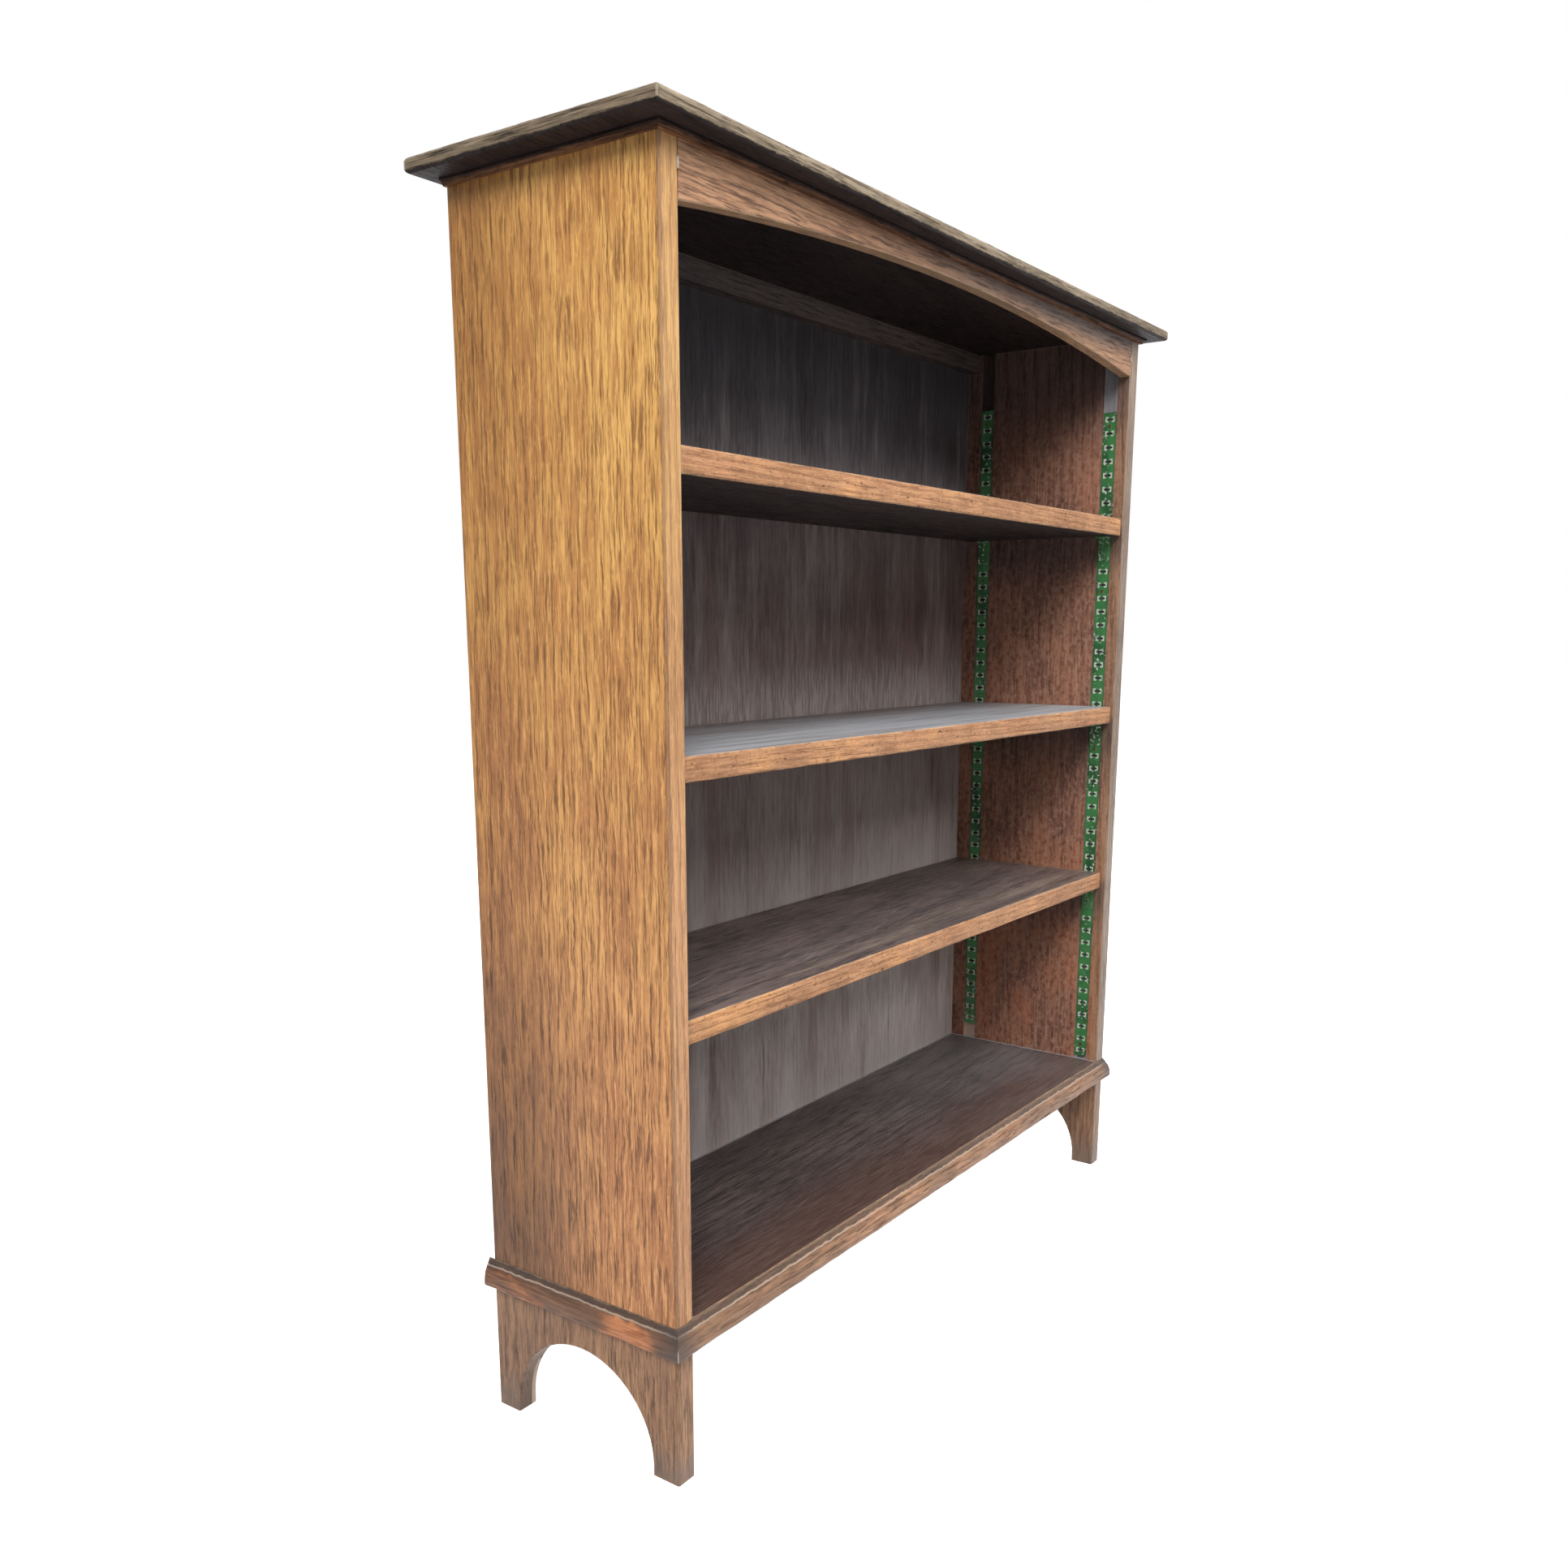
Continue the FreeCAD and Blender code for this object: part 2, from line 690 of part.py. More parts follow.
def make_clip(shelf, side, sign, place):
    x, y = strip_place(sign, place)
    label = "clip_%s_%s_%s" % (shelf, side, place)
    body = new_body(label, x, y, seat_height(shelf), about_face=sign > 0)
    sheet_thickness = size("clip_sheet_thickness")
    bend = size("clip_bend_radius")
    hook_row = pitch * (HOOKS_PER_CLIP - 1)
    leg_end = -size("clip_first_hook_drop") - hook_row - size("clip_leg_tail")
    sketch = new_sketch(body, "XZ_Plane")
    outline(sketch, [
        (NIL, -bend),
        (bend, NIL),
        (size("clip_tongue_length"), NIL),
        (size("clip_tongue_length"), -sheet_thickness),
        (bend, -sheet_thickness),
        (sheet_thickness, -bend),
        (sheet_thickness, leg_end),
        (NIL, leg_end),
    ], {0: (bend, -bend), 4: (bend, -bend)})
    pad(body, sketch, size("clip_width"), both_ways=True)
    hooks = new_sketch(body, "XZ_Plane")
    throat = size("strip_thickness") + size("clip_hook_clearance")
    lip = throat + size("clip_lip_thickness")
    for step in range(HOOKS_PER_CLIP):
        lower = -size("clip_first_hook_drop") - pitch * step - size("slot_height") / 2
        upper = lower + size("clip_hook_height")
        outline(hooks, [
            (sheet_thickness / 2, lower),
            (sheet_thickness / 2, upper),
            (-lip, upper),
            (-lip, lower - size("clip_lip_drop")),
            (-throat, lower - size("clip_lip_drop")),
            (-throat, lower),
        ])
    pad(body, hooks, size("clip_hook_width"), both_ways=True)


# Loose shelves
def make_shelf(shelf):
    underside = seat_height(shelf) + size("shelf_seat_clearance")
    setback = size("shelf_%s_setback" % shelf)
    body = new_body("shelf_" + shelf, NIL, front + setback, underside)
    half = inner_half - size("shelf_end_clearance")
    sketch = new_sketch(body, "XY_Plane")
    rectangle(sketch, -half, NIL, half, size("shelf_depth"))
    pad(body, sketch, size("shelf_thickness"))
    rounded(body, size("arris_radius"), lambda box: (
        lies_at(box.YMin, box.YMax, NIL) and box.XLength > half.number
    ))


# Dowels between the sides and the top, and glue blocks in the hidden corners
def make_dowels(side, sign):
    x = (half_width - size("side_thickness") / 2) * sign
    y = front + size("dowel_edge_distance")
    body = new_body("top_dowels_" + side, x, y, case_top - size("dowel_bite_side"))
    sketch = new_sketch(body, "XY_Plane")
    polygon(sketch, NIL, NIL, size("dowel_radius"), DOWEL_FLATS)
    dowel = pad(body, sketch, size("dowel_bite_side") + size("dowel_bite_top"))
    in_a_row(body, [dowel], "Y_Axis", depth - size("dowel_edge_distance") * 2, DOWELS_PER_SIDE)


def make_top_blocks():
    row_half = inner_half - size("block_front_distance")
    y = front + size("frieze_thickness")
    body = new_body("top_corner_blocks", -row_half, y, case_top)
    leg = size("block_leg")
    sketch = new_sketch(body, "YZ_Plane")
    outline(sketch, [(NIL, NIL), (NIL, -leg), (leg, NIL)])
    block = pad(body, sketch, size("block_length"), both_ways=True)
    in_a_row(body, [block], "X_Axis", row_half * 2, FRIEZE_BLOCKS)


def make_base_blocks(side, sign):
    first_y = front + size("block_side_distance")
    body = new_body("base_corner_blocks_" + side, inner_half * sign, first_y, floor_underside)
    leg = size("block_leg")
    sketch = new_sketch(body, "XZ_Plane")
    outline(sketch, [(NIL, NIL), (NIL, -leg), (leg * -sign, NIL)])
    block = pad(body, sketch, size("block_length"), both_ways=True)
    row_length = depth - size("block_side_distance") * 2
    in_a_row(body, [block], "Y_Axis", row_length, BASE_BLOCKS_PER_SIDE)


make_top_board()
make_mouldings()
make_frieze_rail()
make_rear_rail()
make_bottom_board()
make_back_panel()
make_top_blocks()
for shelf_name in SHELF_SLOT_SHARES:
    make_shelf(shelf_name)
for side_name, side_sign in SIDES.items():
    make_side_panel(side_name, side_sign)
    make_dowels(side_name, side_sign)
    make_base_blocks(side_name, side_sign)
    for strip_name in strip_setbacks:
        make_strip(side_name, side_sign, strip_name)
        make_strip_screws(side_name, side_sign, strip_name)
        for shelf_name in SHELF_SLOT_SHARES:
            make_clip(shelf_name, side_name, side_sign, strip_name)
doc.recompute()

for item in doc.Objects:
    if "Invalid" in item.State or "Error" in item.State:
        raise RuntimeError("%s did not build: %s" % (item.Label, item.State))
pieces = [item for item in doc.Objects if item.TypeId == "PartDesign::Body"]
for piece in pieces:
    if piece.Shape.isNull() or not piece.Shape.isValid() or not piece.Shape.Solids:
        raise RuntimeError("%s has no valid solid" % piece.Label)

os.makedirs("parts", exist_ok=True)
for piece in pieces:
    piece.Shape.exportStep(os.path.join("parts", piece.Label + ".step"))
    print("%s: %d solids" % (piece.Label, len(piece.Shape.Solids)))
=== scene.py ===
"""The looks of an open-front oak bookcase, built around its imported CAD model.

The CAD nodes give every piece its place. The boards, mouldings and fastenings that show wear are
modelled again with worn arrises, and every surface gets a node-based finish: open-grained oak in
several stains, thin sheet, green enamel, brass, steel and filler. Lengths are in metres, +Z is
up and the open front looks towards -Y.
"""

from __future__ import annotations

import logging
import math
import random
from dataclasses import dataclass
from enum import Enum
from functools import cached_property
from typing import Any, Callable, Union

import bmesh
import bpy
from mathutils import Matrix, Vector

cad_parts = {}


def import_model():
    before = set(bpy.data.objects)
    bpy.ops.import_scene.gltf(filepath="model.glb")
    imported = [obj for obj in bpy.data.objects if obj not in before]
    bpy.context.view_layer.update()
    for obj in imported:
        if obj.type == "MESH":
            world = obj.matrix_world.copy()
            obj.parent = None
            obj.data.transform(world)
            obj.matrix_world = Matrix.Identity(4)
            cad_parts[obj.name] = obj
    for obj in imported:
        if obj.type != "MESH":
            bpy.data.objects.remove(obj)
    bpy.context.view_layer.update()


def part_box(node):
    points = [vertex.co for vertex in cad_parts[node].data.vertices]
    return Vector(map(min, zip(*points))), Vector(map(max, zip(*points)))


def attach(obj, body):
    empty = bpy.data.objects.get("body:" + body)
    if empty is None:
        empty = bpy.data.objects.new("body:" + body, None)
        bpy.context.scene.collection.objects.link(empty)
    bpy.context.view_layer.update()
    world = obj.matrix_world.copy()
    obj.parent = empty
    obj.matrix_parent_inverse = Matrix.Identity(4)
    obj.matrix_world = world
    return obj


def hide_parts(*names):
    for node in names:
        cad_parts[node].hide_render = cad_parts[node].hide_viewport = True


logging.basicConfig(level=logging.INFO, format="%(name)s: %(message)s")
LOG = logging.getLogger("bookcase")

MM = 0.001
TOUCH = 0.01 * MM  # what lies nearer than this is taken as in the same place
INNER_WALL, OUTER_WALL = 0.481, 0.505  # the side panels' faces, from the middle
CASE = "case"
BLACK, WHITE = (0.0, 0.0, 0.0), (1.0, 1.0, 1.0)

Colour = tuple[float, ...]
Pair = tuple[float, float]
Point = tuple[float, float, float]
Piece = bpy.types.Object
Socket = bpy.types.NodeSocket


def stain(red: int, green: int, blue: int) -> Colour:
    """Turns a colour as it looks on a screen into the linear one that a shader takes.

    Args:
        red, green, blue: The colour's parts, from 0 to 255.

    Returns:
        The same colour in linear light.
    """
    parts = (part / 255 for part in (red, green, blue))
    return tuple(p / 12.92 if p <= 0.04045 else ((p + 0.055) / 1.055) ** 2.4 for p in parts)


class Axis(Enum):
    """A direction of the part's frame."""

    X = 0
    Y = 1
    Z = 2


# Shader maths


class Number:
    """A number on a node's socket. Python's operators on it add Math nodes."""

    def __init__(self, kit: NodeKit, socket: Socket) -> None:
        """Keeps the socket and the nodes that it belongs to."""
        self.kit = kit
        self.socket = socket

    def __add__(self, other: Scalar) -> Number:
        """The sum."""
        return self.kit.math("ADD", self, other)

    __radd__ = __add__

    def __sub__(self, other: Scalar) -> Number:
        """The difference."""
        return self.kit.math("SUBTRACT", self, other)

    def __rsub__(self, other: Scalar) -> Number:
        """The difference the other way round."""
        return self.kit.math("SUBTRACT", other, self)

    def __mul__(self, other: Scalar) -> Number:
        """The product."""
        return self.kit.math("MULTIPLY", self, other)

    __rmul__ = __mul__

    def __truediv__(self, other: Scalar) -> Number:
        """The quotient."""
        return self.kit.math("DIVIDE", self, other)

    def __abs__(self) -> Number:
        """The size without its sign."""
        return self.kit.math("ABSOLUTE", self)

    def at_least(self, other: Scalar) -> Number:
        """The larger of the two."""
        return self.kit.math("MAXIMUM", self, other)

    def at_most(self, other: Scalar) -> Number:
        """The smaller of the two."""
        return self.kit.math("MINIMUM", self, other)

    def fraction(self) -> Number:
        """What is left over after the whole part is taken off."""
        return self.kit.math("FRACT", self)

    def ease(self, start: Scalar, end: Scalar) -> Number:
        """A soft step.

        Args:
            start: Where it leaves 0.
            end: Where it reaches 1, which may lie below start.

        Returns:
            A number from 0 to 1.
        """
        values = {"Value": self, "From Min": start, "From Max": end}
        step = self.kit.node("MapRange", values, interpolation_type="SMOOTHSTEP")
        return Number(self.kit, step.outputs[0])


Scalar = Union[Number, float]
Place = tuple[Scalar, Scalar, Scalar]
Tint = Union[Socket, Colour]


class NodeKit:
    """The nodes of one material, or of the world."""

    def __init__(self, owner: bpy.types.Material | bpy.types.World) -> None:
        """Clears the owner's nodes.

        Args:
            owner: The material, or the world.
        """
        owner.use_nodes = True
        self.owner = owner
        self.tree = owner.node_tree
        self.tree.nodes.clear()

    @classmethod
    def of(cls, name: str) -> NodeKit:
        """Starts a new material of that name."""
        return cls(bpy.data.materials.new(name))

    def node(self, kind: str, values: dict[str | int, Any], **settings: Any) -> bpy.types.Node:
        """Adds a node.

        Args:
            kind: The node's type, without its ShaderNode prefix.
            values: What goes into its sockets: a Number, a socket, a number or a colour.
            settings: The node's own attributes, which are set first.

        Returns:
            The new node.
        """
        node = self.tree.nodes.new("ShaderNode" + kind)
        for name, setting in settings.items():
            setattr(node, name, setting)
        for name, value in values.items():
            socket = node.inputs[name]
            value = value.socket if isinstance(value, Number) else value
            if isinstance(value, Socket):
                self.tree.links.new(value, socket)
            else:
                socket.default_value = (*value, 1.0) if socket.type == "RGBA" else value
        return node

    def math(self, operation: str, *operands: Scalar) -> Number:
        """One Math node on the operands."""
        node = self.node("Math", dict(enumerate(operands)), operation=operation)
        return Number(self, node.outputs[0])

    def paint(self, ground: Tint, *coats: tuple[Any, ...]) -> Tint:
        """Lays colours over a ground, the lowest first.

        Args:
            ground: The colour under all the others.
            coats: Each with how much of it shows, from 0 to 1, its colour, and the way in which
                it is mixed where that isn't plain.

        Returns:
            The mixed colour.
        """
        for share, over, *way in coats:
            values = {0: share, 6: ground, 7: over}
            settings = {"data_type": "RGBA", "blend_type": way[0] if way else "MIX"}
            ground = self.node("Mix", values, clamp_factor=True, **settings).outputs[2]
        return ground

    def place(self) -> Place:
        """Finds the shaded point.

        Returns:
            Its three Object coordinates.
        """
        where = self.node("TexCoord", {}).outputs["Object"]
        x, y, z = self.node("SeparateXYZ", {0: where}).outputs
        return Number(self, x), Number(self, y), Number(self, z)

    def noise(self, at: Place, pace: Point, detail: float = 2, roughness: float = 0.5) -> Number:
        """Smooth noise.

        Args:
            at: Where it is read.
            pace: How fast it changes along each of the three.
            detail: How many finer layers it has.
            roughness: How strong these are.

        Returns:
            A number from 0 to 1, about a middle of 0.5.
        """
        parts = (part * speed for part, speed in zip(at, pace))
        vector = self.node("CombineXYZ", dict(enumerate(parts))).outputs[0]
        values = {"Vector": vector, "Scale": 1.0, "Detail": detail, "Roughness": roughness}
        return Number(self, self.node("TexNoise", values).outputs[0])

    def surface(
        self,
        colour: Tint,
        roughness: Scalar,
        height: Number | None = None,
        depth: float = 0.0,
        **fixed: Any,
    ) -> bpy.types.Material:
        """Closes the material with a Principled BSDF.

        Args:
            colour: The base colour.
            roughness: The roughness.
            height: The relief, from 0 to 1, if the surface has one.
            depth: How deep the relief is.
            fixed: Other inputs by name, with underscores for spaces.

        Returns:
            The finished material.
        """
        values = {name.replace("_", " "): value for name, value in fixed.items()}
        if height is not None:
            relief = {"Height": height, "Strength": 1.0, "Distance": depth}
            values["Normal"] = self.node("Bump", relief).outputs[0]
        values.update({"Base Color": colour, "Roughness": roughness})
        shader = self.node("BsdfPrincipled", values)
        self.node("OutputMaterial", {"Surface": shader.outputs[0]})
        return self.owner


# Oak


@dataclass(frozen=True)
class Cut:
    """How a board lies in the log that it was sawn from.

    Attributes:
        grain: The axis that the grain runs along.
        face: The axis that the broad faces look along.
        shift: Where in the log the board's piece of figure starts.
        pith_aside: How far the pith lies to the side of the middle.
        pith_below: How far it lies below the face.
        ring_width: One year's growth.
        lean: How much the pith nears the face for each metre along the grain.
    """

    grain: Axis
    face: Axis
    shift: Point
    pith_aside: float = 0.22
    pith_below: float = 0.10
    ring_width: float = 7.5 * MM
    lean: float = 0.02

    def across(self) -> Axis:
        """The axis across the broad face."""
        return (set(Axis) - {self.grain, self.face}).pop()


@dataclass(frozen=True)
class Stain:
    """The colours of a stained board.

    Attributes:
        ground: Most of the wood.
        bright: Where the stain is thin.
        band: The porous start of each year's ring.
        pore: The pores' dark filling.
    """

    ground: Colour
    bright: Colour
    band: Colour
    pore: Colour

    @classmethod
    def of(cls, *colours: tuple[int, int, int]) -> Stain:
        """The stain of four colours as they look on a screen."""
        return cls(*(stain(*colour) for colour in colours))


# Stains, each as the wood shows under even light; the darkest stands for painted shade

GOLDEN = Stain.of((196, 139, 74), (238, 186, 108), (170, 113, 66), (112, 70, 32))
RUSSET = Stain.of((190, 129, 82), (232, 170, 112), (148, 94, 58), (82, 52, 34))
TANNED = Stain.of((158, 122, 92), (186, 150, 116), (132, 100, 76), (84, 62, 48))
LEATHERY = Stain.of((132, 96, 70), (170, 128, 94), (106, 77, 58), (64, 48, 40))
TAWNY = Stain.of((176, 126, 92), (206, 156, 116), (146, 102, 74), (88, 58, 42))
RUDDY = Stain.of((162, 116, 84), (196, 150, 114), (132, 92, 66), (76, 52, 40))
CHESTNUT = Stain.of((138, 96, 80), (180, 134, 110), (110, 74, 62), (58, 39, 34))
COCOA = Stain.of((96, 66, 49), (138, 98, 70), (76, 53, 41), (42, 31, 27))
UMBER = Stain.of((92, 77, 73), (120, 102, 96), (72, 59, 57), (44, 36, 35))
EBONY = Stain.of((72, 62, 61), (100, 86, 82), (56, 48, 48), (33, 28, 28))
# Painted shade, not a stain: the dark of shaded undersides and hollows
PAINTED_SHADE = Stain.of((43, 35, 34), (50, 40, 38), (30, 24, 24), (19, 15, 15))
ASHEN = Stain.of((126, 111, 93), (166, 150, 128), (98, 84, 69), (54, 46, 38))
WEATHERED = Stain.of((118, 99, 85), (156, 138, 124), (94, 77, 66), (60, 48, 42))
PALE_SHEET = Stain.of((190, 173, 168), (222, 211, 206), (154, 135, 130), (96, 81, 77))
BROWN_SHEET = Stain.of((98, 80, 77), (130, 111, 106), (78, 62, 59), (50, 41, 40))
GREY_SHEET = Stain.of((82, 77, 81), (110, 106, 111), (66, 61, 65), (44, 41, 44))
PINE = Stain.of((190, 156, 108), (210, 180, 134), (166, 126, 82), (140, 104, 68))
# Pale dust; on the middle shelf it also stands for a painted sheen
DUST_AND_SHEEN = stain(186, 190, 196)
# Bare wood of the front groove, with a painted reflection
GROOVE_WOOD_AND_REFLECTION = stain(150, 147, 152)
# Painted shade: the rear groove's bare wood, in shade
SHADED_GROOVE_WOOD = stain(66, 54, 50)


@dataclass(frozen=True)
class Box:
    """A box that stands square in the part's frame.

    Attributes:
        low: Its lowest corner.
        high: Its highest corner.
    """

    low: Vector
    high: Vector

    @property
    def middle(self) -> Vector:
        """The box's middle."""
        return (self.low + self.high) / 2

    def edge_distance(self, place: Place) -> Number:
        """How far a point lies from the nearest arris.

        Args:
            place: The point, on the box's surface.

        Returns:
            The distance.
        """
        first, second, third = (
            (part - low).at_most(high - part).at_least(0.0)
            for part, low, high in zip(place, self.low, self.high)
        )
        return first.at_most(second).at_least(first.at_least(second).at_most(third))


@dataclass(frozen=True)
class Wood:
    """The shaded point of a board, and the patterns there, each from 0 to 1.

    Attributes:
        kit: The material's nodes.
        place: The point.
        finish: The board's finish.
        band: The porous start of the rings.
        pores: Short dark streaks.
        fibre: Thin pale streaks.
        mottle: Broad uneven patches.
        fleck: Small bright rays.
        rub: Fine unevenness for the edges of worn places.
    """

    kit: NodeKit
    place: Place
    finish: OakFinish
    band: Number
    pores: Number
    fibre: Number
    mottle: Number
    fleck: Number
    rub: Number

    def uneven(self, by: float) -> Number:
        """A broad wandering to both sides of 0."""
        return (self.mottle - 0.5) * by

    def frayed(self, by: float) -> Number:
        """A fine wandering to both sides of 0."""
        return (self.rub - 0.5) * by

    def stained(self, tones: Stain, pores: float = 1.0) -> Tint:
        """The wood's own colour in one stain, before any wear.

        Args:
            tones: The stain.
            pores: How much of the pores' strength shows.

        Returns:
            The colour.
        """
        look, fibre = self.finish, self.fibre
        return self.kit.paint(
            tones.ground,
            (self.mottle.ease(0.36, 0.68), tones.bright),
            (self.band * look.band_share, tones.band),
            (fibre.ease(0.50, 0.64) * (0.70 * look.fibre_share), tones.bright),
            (fibre.ease(0.48, 0.36) * (0.45 * look.fibre_share), tones.band),
            (self.fleck * look.fleck_share, tones.bright),
            (self.pores * (look.pore_share * pores), tones.pore),
        )


@dataclass(frozen=True)
class OakFinish:
    """Stained and waxed oak with open pores.

    Attributes:
        node: The CAD node that it dresses, or that the dressed piece stands for.
        cut: How the board was sawn.
        stain: Its colours.
        worn: The colour of worn arrises.
        wear: How wide the wear is.
        pore_share: How strongly the pores show.
        fibre_share: How strongly the fibres show.
        band_share: How strongly the years' rings show.
        fleck_share: How strongly the rays show.
        curl: How far the grain waves about.
        dull: The roughness between the pores.
        polish: The weight of the wax coat.
        top_only: Whether only the upper face is waxed.
        gloss: The strength of the reflection without wax.
    """

    node: str
    cut: Cut
    stain: Stain
    worn: Colour = stain(198, 166, 130)
    wear: float = 1.6 * MM
    pore_share: float = 0.8
    fibre_share: float = 1.0
    band_share: float = 0.55
    fleck_share: float = 0.15
    curl: float = 2.5 * MM
    dull: float = 0.46
    polish: float = 0.12
    top_only: bool = False
    gloss: float = 0.3

    @cached_property
    def box(self) -> Box:
        """The board's box, whose arrises are worn."""
        return Box(*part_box(self.node))

    def wood(self, kit: NodeKit) -> Wood:
        """Draws the grain.

        Args:
            kit: The material's nodes.

        Returns:
            The shaded point with the board's patterns.
        """
        cut, place = self.cut, kit.place()
        along = place[cut.grain.value] + cut.shift[0]
        aside = place[cut.across().value] + cut.shift[1]
        below = place[cut.face.value] + cut.shift[2]
        straight = (aside, along, below)
        drift = kit.noise(straight, (9, 2.2, 9), 3) - 0.5
        curl = kit.noise(straight, (60, 34, 60), 2, 0.6) - 0.5
        aside = aside + drift * 0.012 + curl * self.curl
        waved = (aside, along, below)
        offset = aside - (cut.pith_aside + cut.shift[1])
        depth = below + along * cut.lean + (cut.pith_below - cut.shift[2])
        radius = kit.math("SQRT", offset * offset + depth * depth) + drift * 0.006
        phase = (radius / cut.ring_width).fraction()
        band = phase.ease(0.62, 0.02) * phase.ease(0.0, 0.05)
        streaks = kit.noise(waved, (400, 22, 400), 3.5, 0.70)
        stipple = kit.noise(waved, (760, 60, 760), 1.5)
        thick = kit.noise(waved, (70, 7, 70))
        dense = (0.45 + 0.40 * band + thick.ease(0.42, 0.60) * 0.40).at_most(1.0)
        return Wood(
            kit,
            place,
            self,
            band,
            pores=(streaks.ease(0.48, 0.60) * dense + stipple.ease(0.56, 0.70) * 0.30).at_most(1.0),
            fibre=kit.noise(waved, (320, 24, 700), 3, 0.68),
            mottle=kit.noise(waved, (11, 4.5, 11), 5, 0.66),
            fleck=kit.noise(straight, (190, 120, 190), 1).ease(0.60, 0.74),
            rub=kit.noise(place, (95, 95, 95), 3, 0.6),
        )

    def marked(self, wood: Wood, colour: Tint) -> Tint:
        """What use has left on the board, which the pieces' own finishes add to.

        Args:
            wood: The shaded point.
            colour: The stained colour.

        Returns:
            The colour with its marks.
        """
        return self.rubbed(wood, colour)

    def rubbed(self, wood: Wood, colour: Tint) -> Tint:
        """Wears the arrises down to paler wood."""
        reach = self.box.edge_distance(wood.place) + wood.frayed(2.6 * self.wear)
        return wood.kit.paint(colour, (reach.ease(self.wear, 0.2 * self.wear) * 0.75, self.worn))

    def on_top(self, place: Place) -> Number:
        """1 on the upper face, which ends in its arrises, and 0 below it."""
        top = self.box.high.z
        return place[2].ease(top - 1.4 * MM, top - 0.3 * MM)

    def material(self) -> bpy.types.Material:
        """Builds the material.

        Returns:
            The wood, which is dull in the pores.
        """
        kit = NodeKit.of(self.node + "_wood")
        wood = self.wood(kit)
        return kit.surface(
            self.marked(wood, wood.stained(self.stain)),
            wood.pores * 0.22 + (wood.mottle * 0.16 + (self.dull - 0.08)),
            1.0 - wood.pores * 0.8 - wood.fibre * 0.2,
            depth=0.25 * MM,
            Coat_Weight=self.on_top(wood.place) * self.polish if self.top_only else self.polish,
            Coat_Roughness=0.3,
            Specular_IOR_Level=self.gloss,
        )

    def dress(self) -> None:
        """Gives the CAD node this finish."""
        dress(self.material(), self.node)


# Finishes of the pieces


